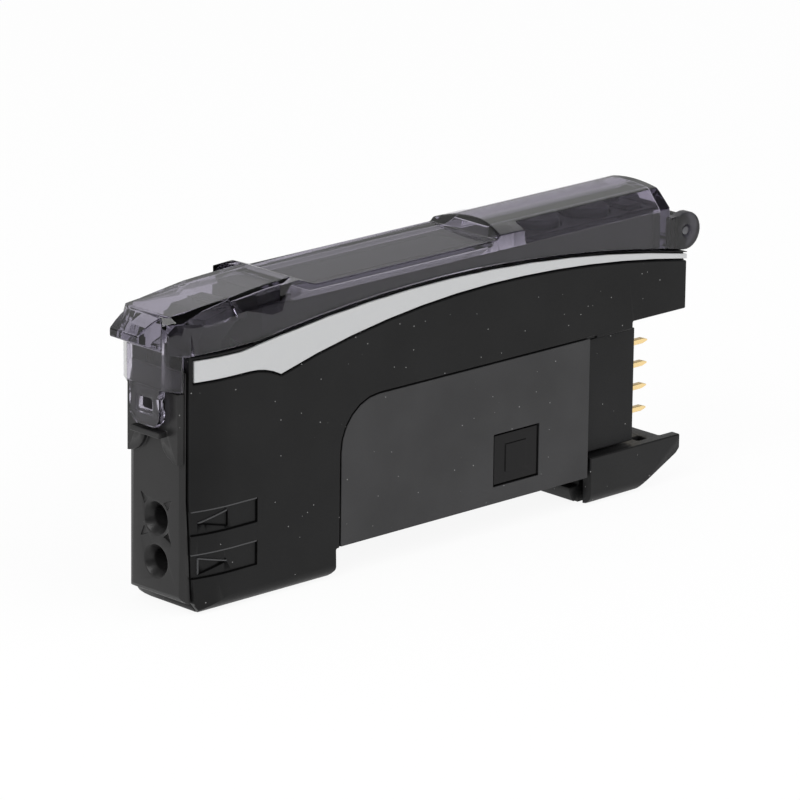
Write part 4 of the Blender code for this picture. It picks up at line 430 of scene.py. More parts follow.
class Finish(Enum):
    """Finishes of the amplifier, by what they are on."""

    CASE = MouldedPlastic((0.0042, 0.0042, 0.0044), 0.4, 0.18)
    # Painted highlight: lighter bars that stand in for light caught on the upper edges of the sunk marks.
    BURNISHED = MouldedPlastic((0.04, 0.04, 0.042), 0.34, 0.4, dust_share=0.0)
    # Painted shade: near-black bars that stand in for shadow along the lower and rear edges of the sunk
    # marks.
    GROOVE = MouldedPlastic((0.0006, 0.0006, 0.0006), 0.7, 0.03, dust_share=0.0)
    FIBRE_BLOCK = MouldedPlastic((0.0095, 0.0092, 0.0094), 0.33, 0.32)
    HOOK = MouldedPlastic((0.006, 0.006, 0.0063), 0.42, 0.24)
    PLUG = MouldedPlastic((0.007, 0.007, 0.0074), 0.5, 0.21)
    PANEL = MouldedPlastic((0.008, 0.008, 0.0092), 0.45, 0.3, dust_share=0.01)
    KEY = MouldedPlastic((0.011, 0.011, 0.0125), 0.5, 0.35, dust_share=0.005)
    KEY_MARK = SatinPaint((0.42, 0.42, 0.43), 0.45, 0.0)
    LEVER = MouldedPlastic((0.008, 0.008, 0.009), 0.4, 0.4, dust_share=0.0)
    CLAMP = MouldedPlastic((0.10, 0.10, 0.10), 0.5, 0.4, dust_share=0.0)
    LABEL = MouldedPlastic((0.031, 0.0308, 0.0318), 0.5, 0.19, 0.09 * MM, 0.0008 * MM)
    STRIPE = SatinPaint((0.47, 0.475, 0.48))
    LINK_WINDOW = DarkLens((0.0045, 0.0042, 0.0045), 0.14, 0.16)
    SMOKED = SmokedPlastic((0.60, 0.575, 0.645), (0.44, 0.42, 0.49), 350.0)
    GOLD = MetalSkin((0.95, 0.72, 0.36), 0.26)
    STEEL = MetalSkin((0.56, 0.56, 0.58), 0.3, (1.0, 0.05, 1.0), (0.3, 0.28, 0.26), 0.15)
    DARK_STEEL = MetalSkin((0.16, 0.16, 0.17), 0.38, (1.0, 0.05, 1.0), (0.08, 0.07, 0.06), 0.2)
    BOARD = BoardResist()
    CHIP = MouldedPlastic((0.010, 0.010, 0.011), 0.55, 0.3, dust_share=0.0)
    CAPACITOR = MouldedPlastic((0.40, 0.20, 0.03), 0.4, 0.4, dust_share=0.0)
    HEADER = MouldedPlastic((0.55, 0.51, 0.43), 0.5, 0.4, dust_share=0.0)
    SWITCH = MetalSkin((0.62, 0.62, 0.62), 0.34)
    EMITTER = DarkLens((0.62, 0.08, 0.04), 0.1)
    RECEIVER = DarkLens((0.03, 0.03, 0.04), 0.1)
    DISPLAY = DarkLens((0.022, 0.022, 0.026), 0.12)
    LENS = DarkLens((0.016, 0.016, 0.018), 0.12, 0.12)
    SEGMENT = SatinPaint((0.20, 0.20, 0.20), 0.5, 0.0)

    @property
    def material(self) -> bpy.types.Material:
        """The material of the finish, made on its first use."""
        name = "finish_" + self.name.lower()
        return bpy.data.materials.get(name) or self.value.build(name)


# Meshes


def new_object(name: str, mesh: bpy.types.Mesh) -> bpy.types.Object:
    """Put a mesh in the scene as an object at the origin."""
    made = bpy.data.objects.new(name, mesh)
    bpy.context.scene.collection.objects.link(made)
    return made


def from_bmesh(name: str, shape: bmesh.types.BMesh) -> bpy.types.Object:
    """Turn a bmesh into an object and free it."""
    mesh = bpy.data.meshes.new(name)
    shape.to_mesh(mesh)
    shape.free()
    return new_object(name, mesh)


def baked(piece: bpy.types.Object) -> bpy.types.Object:
    """Replace an object's mesh by what its modifiers make of it.

    Args:
        piece: Object with modifiers.

    Returns:
        The same object with a plain mesh and no modifiers.
    """
    bpy.context.view_layer.update()
    graph = bpy.context.evaluated_depsgraph_get()
    mesh = bpy.data.meshes.new_from_object(piece.evaluated_get(graph), depsgraph=graph)
    mesh.name = piece.name
    piece.modifiers.clear()
    piece.data = mesh
    return piece


def dressed(piece: bpy.types.Object, finish: Finish) -> bpy.types.Object:
    """Give a piece its material."""
    piece.data.materials.clear()
    piece.data.materials.append(finish.material)
    return piece


@dataclass
class RoundedCopy:
    """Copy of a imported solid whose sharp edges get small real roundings."""

    node: str
    finish: Finish
    body: Body = Body.CASE
    rounding: float = 0.12 * MM
    name: str = ""
    segments: int = 3
    sharp: float = math.radians(28.0)
    shaded_sharp: float = math.radians(37.0)
    flat: float = math.radians(0.3)
    weld: float = 0.004 * MM
    share: float = 0.38
    parallel: float = 0.85
    tries: int = 6
    stray: float = 0.55
    reach: float = 2.5
    eased: float = 0.4
    least: float = 0.1
    turned: float = -0.05
    smallest_area: float = 1e-10

    def __post_init__(self) -> None:
        """Name the piece after its node, unless it has its own name."""
        self.name = self.name or self.node + "_skin"

    def build(self) -> bpy.types.Object:
        """Make the copy, round it, dress it and let it stand for its node.

        Returns:
            The finished piece.
        """
        source = self.merged()
        surface = BVHTree.FromBMesh(source)
        weights = self.weights(source)
        piece = self.rounded(source, weights)
        faults = self.faults(piece.data, surface)
        for _ in range(self.tries):
            if not faults:
                break
            self.ease(source, weights, faults)
            bpy.data.objects.remove(piece, do_unlink=True)
            piece = self.rounded(source, weights)
            faults = self.faults(piece.data, surface)
        LOG.info("%s: %d edges rounded, %d faults left", self.name, len(weights), len(faults))
        source.free()
        self.cut_up(piece.data)
        piece.data.shade_smooth()
        piece.data.set_sharp_from_angle(angle=self.shaded_sharp)
        piece.modifiers.new("flat_faces", "WEIGHTED_NORMAL").keep_sharp = True
        dressed(baked(piece), self.finish)
        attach(piece, self.body.value)
        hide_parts(self.node)
        return piece

    def merged(self) -> bmesh.types.BMesh:
        """Closed mesh of the node with its flat faces whole and no tiny edges."""
        shape = bmesh.new()
        shape.from_mesh(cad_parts[self.node].data)
        bmesh.ops.remove_doubles(shape, verts=shape.verts, dist=self.weld)
        bmesh.ops.dissolve_degenerate(shape, edges=shape.edges, dist=self.weld)
        bmesh.ops.dissolve_limit(
            shape,
            angle_limit=self.flat,
            use_dissolve_boundaries=False,
            verts=shape.verts,
            edges=shape.edges,
        )
        shape.normal_update()
        for table in (shape.verts, shape.edges, shape.faces):
            table.index_update()
            table.ensure_lookup_table()
        return shape

    def weights(self, shape: bmesh.types.BMesh) -> dict[int, float]:
        """Share of the full rounding that each sharp edge has room for."""
        found = {}
        for edge in shape.edges:
            if len(edge.link_faces) == 2 and edge.calc_face_angle(0.0) > self.sharp:
                found[edge.index] = min(1.0, self.share * self.room(edge) / self.rounding)
        return found

    def room(self, edge: bmesh.types.BMEdge) -> float:
        """Length of the shortest edge that meets this one at an angle."""
        run = (edge.verts[1].co - edge.verts[0].co).normalized()
        shortest = 1.0
        for corner in edge.verts:
            for other in corner.link_edges:
                if other is edge:
                    continue
                way = (other.verts[1].co - other.verts[0].co).normalized()
                if abs(way.dot(run)) < self.parallel:
                    shortest = min(shortest, other.calc_length())
        return shortest

    def rounded(self, source: bmesh.types.BMesh, weights: dict[int, float]) -> bpy.types.Object:
        """Copy with a rounding along each weighted edge."""
        shape = source.copy()
        shape.edges.ensure_lookup_table()
        layer = shape.edges.layers.float.new("bevel_weight_edge")
        for index, weight in weights.items():
            shape.edges[index][layer] = weight
        piece = from_bmesh(self.name, shape)
        bevel = piece.modifiers.new("rounding", "BEVEL")
        bevel.width = self.rounding
        bevel.segments = self.segments
        bevel.limit_method = "WEIGHT"
        bevel.use_clamp_overlap = False
        bevel.miter_outer = "MITER_ARC"
        return baked(piece)

    def cut_up(self, mesh: bpy.types.Mesh) -> None:
        """Cut faces with more than four corners into triangles."""
        shape = bmesh.new()
        shape.from_mesh(mesh)
        wide = [face for face in shape.faces if len(face.verts) > 4]
        bmesh.ops.triangulate(shape, faces=wide, quad_method="BEAUTY", ngon_method="BEAUTY")
        shape.to_mesh(mesh)
        shape.free()

    def faults(self, mesh: bpy.types.Mesh, surface: BVHTree) -> list[Vector]:
        """Places where the rounding left the solid's surface or turned a face over."""
        found = []
        for vertex in mesh.vertices:
            if surface.find_nearest(vertex.co)[3] > self.stray * self.rounding:
                found.append(vertex.co.copy())
        mesh.calc_loop_triangles()
        for triangle in mesh.loop_triangles:
            if triangle.area > self.smallest_area:
                outwards = surface.find_nearest(triangle.center)[1]
                if triangle.normal.dot(outwards) < self.turned:
                    found.append(triangle.center.copy())
        return found

    def ease(self, source: bmesh.types.BMesh, weights: dict[int, float], faults: list[Vector]) -> None:
        """Lower the rounding of the edges near the faults."""
        near = set()
        for index in weights:
            first, second = (corner.co for corner in source.edges[index].verts)
            run = second - first
            for place in faults:
                along = max(0.0, min(1.0, (place - first).dot(run) / max(run.length_squared, 1e-18)))
                if (first + run * along - place).length < self.reach * self.rounding:
                    near.add(index)
                    break
        for index in near:
            weights[index] = weights[index] * self.eased if weights[index] > self.least else 0.0


def rounded_copies(rows: Iterable[tuple]) -> list[bpy.types.Object]:
    """Rounded copies of solids, from rows of node, finish, body, rounding and perhaps a name."""
    return [RoundedCopy(*row).build() for row in rows]


class Grown(Tree):
    """Geometry Nodes tree with named inputs, run once and turned into a plain mesh."""

    def __init__(self, name: str) -> None:
        """Start a tree with its output."""
        super().__init__(bpy.data.node_groups.new(name, "GeometryNodeTree"))
        self.tree.interface.new_socket("Geometry", in_out="OUTPUT", socket_type="NodeSocketGeometry")
        self.inputs = self.add("NodeGroupInput")
        self.output = self.add("NodeGroupOutput")
        self.values: dict[str, object] = {}

    def size(self, name: str, value: object, kind: str = "NodeSocketFloat") -> bpy.types.NodeSocket:
        """Add a named input and give it its value.

        Args:
            name: Name of the input.
            value: What the modifier sets it to.
            kind: Socket type.

        Returns:
            The input's socket inside the tree.
        """
        item = self.tree.interface.new_socket(name, in_out="INPUT", socket_type=kind)
        self.values[item.identifier] = value
        return next(socket for socket in self.inputs.outputs if socket.identifier == item.identifier)

    def grow(
        self, name: str, result: bpy.types.NodeSocket, finish: Finish, smooth: float = 40.0
    ) -> bpy.types.Object:
        """End the tree, run it on an empty mesh and keep the result.

        Args:
            name: Name of the piece.
            result: Geometry to keep.
            finish: Finish of the piece.
            smooth: Angle in degrees above which edges stay sharp.

        Returns:
            The piece as a plain mesh object.
        """
        real = self.add("GeometryNodeRealizeInstances", Geometry=result)
        skin = self.add(
            "GeometryNodeSetMaterial", Geometry=real.outputs["Geometry"], Material=finish.material
        )
        self.feed(self.output.inputs["Geometry"], skin.outputs["Geometry"])
        piece = new_object(name, bpy.data.meshes.new(name))
        modifier = piece.modifiers.new("grown", "NODES")
        modifier.node_group = self.tree
        for identifier, value in self.values.items():
            modifier[identifier] = value
        baked(piece)
        dressed(piece, finish)
        piece.data.shade_smooth()
        piece.data.set_sharp_from_angle(angle=math.radians(smooth))
        return piece


def repeated(
    name: str,
    shape: bmesh.types.BMesh,
    finish: Finish,
    count: int,
    step: Point,
    starts: dict[str, tuple[Point, float]],
    smooth: float = 40.0,
) -> bpy.types.Object:
    """Piece made of copies of one shape in straight rows.

    Args:
        name: Name of the piece.
        shape: What is repeated; it is freed.
        finish: Finish of the piece.
        count: Number of copies in a row.
        step: Way from one copy to the next.
        starts: Place of each row's first copy and its scale along X, -1 to mirror, by input name.
        smooth: Angle in degrees above which edges stay sharp.

    Returns:
        The piece as a plain mesh object.
    """
    copied = from_bmesh(name + "_template", shape)
    copied.hide_render = True
    tree = Grown(name)
    number = tree.size("Count", count, "NodeSocketInt")
    offset = tree.size("Offset", step, "NodeSocketVector")
    source = tree.add("GeometryNodeObjectInfo", Object=copied).outputs["Geometry"]
    joined = tree.add("GeometryNodeJoinGeometry")
    for start_name, (start, way) in starts.items():
        place = tree.size(start_name, start, "NodeSocketVector")
        line = tree.add("GeometryNodeMeshLine", Count=number, Start_Location=place, Offset=offset)
        copies = tree.add(
            "GeometryNodeInstanceOnPoints",
            Points=line.outputs["Mesh"],
            Instance=source,
            Scale=(way, 1.0, 1.0),
        )
        tree.feed(joined.inputs["Geometry"], copies.outputs["Instances"])
    piece = tree.grow(name, joined.outputs["Geometry"], finish, smooth)
    bpy.data.objects.remove(copied, do_unlink=True)
    return piece


def walled(shape: bmesh.types.BMesh, rows: Sequence[Sequence[bmesh.types.BMVert]]) -> None:
    """Close rows of corners of equal length into a skin with a cap at both ends."""
    count = len(rows[0])
    for first, second in zip(rows, rows[1:]):
        for step in range(count):
            after = (step + 1) % count
            shape.faces.new((first[step], first[after], second[after], second[step]))
    shape.faces.new(rows[0][::-1])
    shape.faces.new(rows[-1])


def lofted(
    rings: Sequence[Sequence[Vector]], shape: bmesh.types.BMesh | None = None
) -> bmesh.types.BMesh:
    """Closed skin over rings of equal length.

    Args:
        rings: Closed rings of points, first to last.
        shape: Mesh that the skin is added to, or None for a new one.

    Returns:
        The mesh with its faces outwards.
    """
    if shape is None:
        shape = bmesh.new()
    walled(shape, [[shape.verts.new(point) for point in ring] for ring in rings])
    bmesh.ops.recalc_face_normals(shape, faces=shape.faces)
    return shape


def raised(shape: bmesh.types.BMesh, outline: Sequence[Flat], low: float, high: float) -> None:
    """Add a plate with an outline in X and Y, from one height to another."""
    walled(shape, [[shape.verts.new((x, y, z)) for x, y in outline] for z in (low, high)])


# Sub-assemblies


@dataclass
class CaseShell:
    """Tub, near side wall, stripes, blank label and link windows."""

    wall_rounding: float = 0.14 * MM
    trim_rounding: float = 0.05 * MM

    def build(self) -> list[bpy.types.Object]:
        """Make every piece of the case."""
        wall, trim = self.wall_rounding, self.trim_rounding
        return rounded_copies([
            ("main_case", Finish.CASE, Body.CASE, wall),
            ("side_cover", Finish.CASE, Body.CASE, wall),
            ("stripe_near", Finish.STRIPE, Body.CASE, trim),
            ("stripe_far", Finish.STRIPE, Body.CASE, trim),
            ("side_label", Finish.LABEL, Body.CASE, trim),
            ("link_window_near", Finish.LINK_WINDOW, Body.CASE, trim),
            ("link_window_far", Finish.LINK_WINDOW, Body.CASE, trim),
        ])


@dataclass
class MarkFields:
    """Painted highlights on the upper edges and painted shade on the lower edges of the two sunk fields and
    triangles near the fibre end.
    """

    rear_x: float = -29.15 * MM
    field_height: float = 2.6 * MM
    field_pitch: float = 4.5 * MM
    upper_z: float = 6.5 * MM
    arrow_x: float = -34.95 * MM
    arrow_length: float = 3.5 * MM
    arrow_height: float = 1.65 * MM
    toe_in: float = 0.75 * MM
    toe_length: float = 5.3 * MM
    half_width: float = 5.0 * MM
    line_width: float = 0.12 * MM
    sunk: float = 0.02 * MM
    depth: float = 0.16 * MM
    front_margin: float = 0.3 * MM
    edge_share: float = 0.6
    steps: int = 10

    def wall_y(self, x: float, front_x: float) -> float:
        """Outer face of the near wall, which turns in towards the front."""
        radius = (self.toe_length**2 + self.toe_in**2) / (2 * self.toe_in)
        inside = max(0.0, front_x + self.toe_length - x)
        return -(self.half_width - radius + math.sqrt(radius**2 - inside**2))

    def line(self, start: Flat, end: Flat, front_x: float) -> list[list[Vector]]:
        """Rings of a narrow bar from one point of the wall to another, flush with it.

        Args:
            start: X and Z of its first end.
            end: X and Z of its last end.
            front_x: X of the wall's front edge.

        Returns:
            Rings of four points, first to last.
        """
        run = Vector((end[0] - start[0], end[1] - start[1]))
        across = Vector((-run.y, run.x)).normalized() * self.line_width / 2
        rings = []
        for step in range(self.steps + 1):
            x, z = (a + (b - a) * step / self.steps for a, b in zip(start, end))
            outer = self.wall_y(x, front_x) + self.sunk
            corners = ((1, outer), (-1, outer), (-1, outer + self.depth), (1, outer + self.depth))
            rings.append([Vector((x + way * across.x, y, z + way * across.y)) for way, y in corners])
        return rings

    def build(self) -> list[bpy.types.Object]:
        """Make the painted highlight bars and the painted shade bars of both fields, each as one piece."""
        front_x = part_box("side_cover")[0].x
        inset = self.line_width * self.edge_share
        first_x, last_x = front_x + self.front_margin, self.rear_x - inset
        light: list[tuple[Flat, Flat]] = []
        dark: list[tuple[Flat, Flat]] = []
        for index, point in enumerate((-1, 1)):
            middle_z = self.upper_z - index * self.field_pitch
            top = middle_z + self.field_height / 2 - inset
            base = middle_z - self.field_height / 2 + inset
            tail_x = self.arrow_x - point * self.arrow_length / 2
            tip = (self.arrow_x + point * self.arrow_length / 2, middle_z)
            high = (tail_x, middle_z + self.arrow_height / 2)
            low = (tail_x, middle_z - self.arrow_height / 2)
            # Light bars are painted highlights on the edges that face up; dark bars are painted shade on the
            # edges that face down and at the rear.
            light += [((first_x, top), (last_x, top)), (high, tip)]
            dark += [((first_x, base), (last_x, base)), ((last_x, base), (last_x, top)), (tip, low)]
            (dark if point < 0 else light).append((low, high))
        made = []
        for name, pairs, finish in (
            ("mark_edges", light, Finish.BURNISHED),
            ("mark_grooves", dark, Finish.GROOVE),
        ):
            whole = bmesh.new()
            for start, end in pairs:
                lofted(self.line(start, end, front_x), whole)
            piece = dressed(from_bmesh(name, whole), finish)
            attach(piece, Body.CASE.value)
            made.append(piece)
        return made


@dataclass
class FibreEntry:
    """Fibre block, clamp, lever with its grip ribs, and the optics."""

    block_rounding: float = 0.12 * MM
    small_rounding: float = 0.06 * MM
    rib_count: int = 4
    rib_pitch: float = 0.55 * MM
    rib_width: float = 0.26 * MM
    rib_height: float = 0.16 * MM
    rib_half_length: float = 2.1 * MM
    first_rib: float = 3.6 * MM

    def build(self) -> list[bpy.types.Object]:
        """Make every piece at the fibre end."""
        block, small = self.block_rounding, self.small_rounding
        made = rounded_copies([
            ("fibre_block", Finish.FIBRE_BLOCK, Body.CASE, block),
            ("lock_lever", Finish.LEVER, Body.LEVER, block, "lever_skin"),
            ("fibre_clamp", Finish.CLAMP, Body.CLAMP, small, "clamp_skin"),
            ("lever_axle", Finish.STEEL, Body.CASE, small, "axle_skin"),
            ("optics_holder", Finish.CHIP, Body.CASE, small, "holder_skin"),
            ("light_emitter", Finish.EMITTER, Body.CASE, small, "emitter_skin"),
            ("light_receiver", Finish.RECEIVER, Body.CASE, small, "receiver_skin"),
            ("receiver_shield", Finish.STEEL, Body.CASE, small, "shield_skin"),
        ])
        made.append(self.grip_ribs())
        return made

    def grip_ribs(self) -> bpy.types.Object:
        """Ribs across the finger rest of the lever."""
        _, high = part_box("lock_lever")
        start = (high.x - self.first_rib, 0.0, high.z - self.rib_height)
        half, tall = 0.49 * self.rib_width, 0.55 * self.rib_height
        ring = [(0.0, -0.5 * self.rib_height), (half, tall), (0.0, self.rib_height), (-half, tall)]
        ends = [[Vector((x, y, z)) for x, z in ring] for y in (-self.rib_half_length, self.rib_half_length)]
        step = (self.rib_pitch, 0.0, 0.0)
        starts = {"Start": (start, 1.0)}
        piece = repeated("lever_ribs", lofted(ends), Finish.LEVER, self.rib_count, step, starts)
        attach(piece, Body.LEVER.value)
        return piece


@dataclass
class Electronics:
    """Boards and what stands on them."""

    rounding: float = 0.05 * MM
    lead_pitch: float = 0.8 * MM
    lead_count: int = 8
    lead_reach: float = 0.55 * MM
    lead_width: float = 0.3 * MM
    lead_thickness: float = 0.12 * MM

    def build(self) -> list[bpy.types.Object]:
        """Make every piece of the electronics."""
        rows = [
            ("main_board", Finish.BOARD),
            ("display_board", Finish.BOARD),
            ("processor_chip", Finish.CHIP),
            ("power_capacitor", Finish.CAPACITOR),
            ("link_emitter", Finish.RECEIVER),
            ("link_receiver", Finish.CHIP),
            ("board_header", Finish.HEADER),
            ("switch_rocker_up", Finish.SWITCH),
            ("switch_rocker_down", Finish.SWITCH),
            ("switch_tune", Finish.SWITCH),
            ("switch_mode", Finish.SWITCH),
            ("switch_output", Finish.SWITCH),
        ]
        made = rounded_copies((node, finish, Body.CASE, self.rounding) for node, finish in rows)
        made.append(self.chip_leads())
        return made

    def chip_leads(self) -> bpy.types.Object:
        """Gull-wing leads along both ends of the processor chip."""
        low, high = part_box("processor_chip")
        board_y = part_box("main_board")[0].y
        middle = (low + high) / 2
        thick = self.lead_thickness
        rise = (high.y - low.y) / 2
        board, foot = board_y - rise, board_y - thick
        half = self.lead_width / 2
        rings = []
        for share, y in [(0.0, board), (0.25, board), (0.4, foot), (1.0, foot)]:
            corners = ((-1, -half), (-1, half), (1, half), (1, -half))
            x = share * self.lead_reach
            rings.append([Vector((x, y + side * thick / 2, z)) for side, z in corners])
        first_z = middle.z - (self.lead_count - 1) * self.lead_pitch / 2
        starts = {
            "Front start": ((low.x, 0.0, first_z), -1.0),
            "Rear start": ((high.x, 0.0, first_z), 1.0),
        }
        step = (0.0, 0.0, self.lead_pitch)
        piece = repeated("chip_leads", lofted(rings), Finish.STEEL, self.lead_count, step, starts)
        shape = bmesh.new()
        shape.from_mesh(piece.data)
        bmesh.ops.recalc_face_normals(shape, faces=shape.faces)
        shape.to_mesh(piece.data)
        shape.free()
        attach(piece, Body.CASE.value)
        return piece


@dataclass
class OperationDeck:
    """Panel, display and keys under the cover."""

    rounding: float = 0.12 * MM
    small_rounding: float = 0.05 * MM
    digit_count: int = 8
    digit_pitch: float = 2.65 * MM
    digit_height: float = 2.6 * MM
    digit_width: float = 1.5 * MM
    bar: float = 0.26 * MM
    bar_depth: float = 0.04 * MM
    bar_gap: float = 0.07 * MM
    arrow: float = 0.75 * MM
    arrow_reach: float = 1.5 * MM
    mark_depth: float = 0.05 * MM

    def build(self) -> list[bpy.types.Object]:
        """Make every piece of the deck."""
        made = rounded_copies([
            ("operation_panel", Finish.PANEL, Body.CASE, self.rounding),
            ("display_module", Finish.DISPLAY, Body.CASE, self.small_rounding),
            ("display_lens", Finish.LENS, Body.CASE, self.small_rounding),
            ("key_rocker", Finish.KEY, Body.ROCKER, self.rounding),
            ("key_tune", Finish.KEY, Body.TUNE, self.rounding),
            ("key_mode", Finish.KEY, Body.MODE, self.rounding),
            ("key_output", Finish.KEY, Body.OUTPUT, self.rounding),
        ])
        made.append(self.digits())
        made.append(self.rocker_marks())
        return made

    def bars(self) -> bmesh.types.BMesh:
        """Seven bars of one digit, lying flat, with pointed ends."""
        shape = bmesh.new()
        half_width, half_height = self.digit_width / 2, self.digit_height / 2
        quarter = self.digit_height / 4
        places = [(0.0, y, True) for y in (-half_height, 0.0, half_height)]
        places += [(x, y, False) for x in (-half_width, half_width) for y in (-quarter, quarter)]
        for x, y, level in places:
            reach = (half_width if level else quarter) - self.bar_gap
            thin = self.bar / 2
            ring = [(-reach, 0.0), (-reach + thin, -thin), (reach - thin, -thin), (reach, 0.0),
                    (reach - thin, thin), (-reach + thin, thin)]
            flat = [(x + a, y + b) if level else (x - b, y + a) for a, b in ring]
            raised(shape, flat, 0.0, self.bar_depth)
        return shape

    def digits(self) -> bpy.types.Object:
        """Unlit digits under the display's window, read from the side of the plug."""
        low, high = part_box("display_module")
        middle = (low + high) / 2
        first = middle.x - (self.digit_count - 1) * self.digit_pitch / 2
        starts = {"Start": ((first, middle.y, high.z), 1.0)}
        step = (self.digit_pitch, 0.0, 0.0)
        piece = repeated("display_digits", self.bars(), Finish.SEGMENT, self.digit_count, step, starts)
        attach(piece, Body.CASE.value)
        return piece

    def rocker_marks(self) -> bpy.types.Object:
        """Plain triangles on both ends of the rocking key."""
        low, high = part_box("key_rocker")
        middle = (low + high) / 2
        shape = bmesh.new()
        for sign in (-1, 1):
            tip = middle.x + sign * (self.arrow_reach + self.arrow * 0.5)
            tail = middle.x + sign * (self.arrow_reach - self.arrow * 0.5)
            flat = [(tip, 0.0), (tail, self.arrow * 0.6), (tail, -self.arrow * 0.6)]
            raised(shape, flat, high.z - self.mark_depth, high.z + self.mark_depth / 2)
        bmesh.ops.recalc_face_normals(shape, faces=shape.faces)
        piece = dressed(from_bmesh("rocker_marks", shape), Finish.KEY_MARK)
        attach(piece, Body.ROCKER.value)
        return piece


@dataclass
class PlugEnd:
    """Pin block and the four gold contacts."""

    rounding: float = 0.14 * MM
    count: int = 4
    pitch: float = 2.5 * MM
    chamfer: float = 0.07 * MM
    point_length: float = 0.7 * MM
    point_share: float = 0.34
    shoulder: Point = (0.35, 0.98, 0.78)
    nose_widths: Flat = (0.9, 0.8)

    def build(self) -> list[bpy.types.Object]:
        """Make the plug's pieces."""
        housing = RoundedCopy("connector_housing", Finish.PLUG, Body.CASE, self.rounding).build()
        return [housing, self.contacts()]

    def section(self, x: float, half: float, share: float = 1.0) -> list[Vector]:
        """Octagon across the pin, flattened in height by a share."""
        cut = self.chamfer if share > 0.5 else self.chamfer * 0.6
        near = half - cut
        ring = [(half, near), (near, half), (-near, half), (-half, near),
                (-half, -near), (-near, -half), (near, -half), (half, -near)]
        return [Vector((x, y, z * share)) for y, z in ring]

    def contacts(self) -> bpy.types.Object:
        """Four square pins with coined tips, from one pin repeated upwards."""
        low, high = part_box("contact_pin_1")
        half = (high.y - low.y) / 2
        neck = high.x - self.point_length
        along, wide, tall = self.shoulder
        rings = [
            self.section(low.x, half - self.chamfer),
            self.section(low.x + self.chamfer, half),
            self.section(neck, half),
            self.section(neck + along * self.point_length, half * wide, tall),
            self.section(high.x - self.chamfer, half * self.nose_widths[0], self.point_share),
            self.section(high.x, half * self.nose_widths[1], self.point_share * 0.6),
        ]
        starts = {"Start": ((0.0, 0.0, (low.z + high.z) / 2), 1.0)}
        step = (0.0, 0.0, self.pitch)
        piece = repeated("contact_pins", lofted(rings), Finish.GOLD, self.count, step, starts, 30.0)
        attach(piece, Body.CASE.value)
        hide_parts(*[f"contact_pin_{index}" for index in range(1, 5)])
        return piece


@dataclass
class RailHook:
    """Sprung hook and its coil spring."""

    rounding: float = 0.16 * MM
    wire_radius: float = 0.16 * MM
    turns: float = 7.0
    turn_points: int = 28
    wire_sides: int = 12
    travel: float = 1.8 * MM

    def build(self) -> list[bpy.types.Object]:
        """Make the hook and the spring."""
        hook = RoundedCopy("rail_hook", Finish.HOOK, Body.HOOK, self.rounding).build()
        return [hook, self.spring()]

    def spring(self) -> bpy.types.Object:
        """Coil wound along the tongue."""
        low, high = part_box("hook_spring")
        middle = (low + high) / 2
        radius = (high.z - low.z) / 2 - self.wire_radius
        length = high.x - low.x - 2 * self.wire_radius
        tree = Grown("coil_spring")
        coil = tree.add(
            "GeometryNodeCurveSpiral",
            Resolution=tree.size("Points in a turn", self.turn_points, "NodeSocketInt"),
            Rotations=tree.size("Turns", self.turns),
            Start_Radius=tree.size("Radius", radius),
            End_Radius=tree.size("End radius", radius),
            Height=tree.size("Length", length),
        )
        ring = tree.add(
            "GeometryNodeCurvePrimitiveCircle",
            Resolution=tree.size("Wire sides", self.wire_sides, "NodeSocketInt"),
            Radius=tree.size("Wire radius", self.wire_radius),
        )
        wire = tree.add(
            "GeometryNodeCurveToMesh",
            Curve=coil.outputs["Curve"],
            Profile_Curve=ring.outputs["Curve"],
            Fill_Caps=True,
        )
        start = (low.x + self.wire_radius, middle.y, middle.z)
        laid = tree.add(
            "GeometryNodeTransform",
            Geometry=wire.outputs["Mesh"],
            Translation=tree.size("Start", start, "NodeSocketVector"),
            Rotation=(0.0, math.radians(90.0), 0.0),
        )
        piece = tree.grow("coil_spring", laid.outputs["Geometry"], Finish.STEEL, 60.0)
        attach(piece, Body.CASE.value)
        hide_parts("hook_spring")
        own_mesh(piece)
        return piece


@dataclass
class SmokedCover:
    """Clear smoked cover with its two hoods, and the hinge pin."""

    rounding: float = 0.17 * MM
    pin_rounding: float = 0.08 * MM

    def build(self) -> list[bpy.types.Object]:
        """Make the cover and its pin."""
        return rounded_copies([
            ("protective_cover", Finish.SMOKED, Body.COVER, self.rounding, "cover_shell"),
            ("hinge_pin", Finish.DARK_STEEL, Body.CASE, self.pin_rounding),
        ])


# Studio


@dataclass(frozen=True)
class Lamp:
    """Square soft lamp that faces a point of the object."""

    name: str
    place: Point
    target: Point
    size: float
    power: float
    in_gloss: bool = True

    def build(self) -> None:
        """Put the lamp in the scene."""
        data = bpy.data.lights.new(self.name, "AREA")
        data.shape = "SQUARE"
        data.size = self.size
        data.energy = self.power
        lamp = bpy.data.objects.new(self.name, data)
        bpy.context.scene.collection.objects.link(lamp)
        lamp.location = self.place
        lamp.visible_glossy = self.in_gloss
        lamp.rotation_euler = (Vector(self.target) - Vector(self.place)).to_track_quat("-Z", "Y").to_euler()


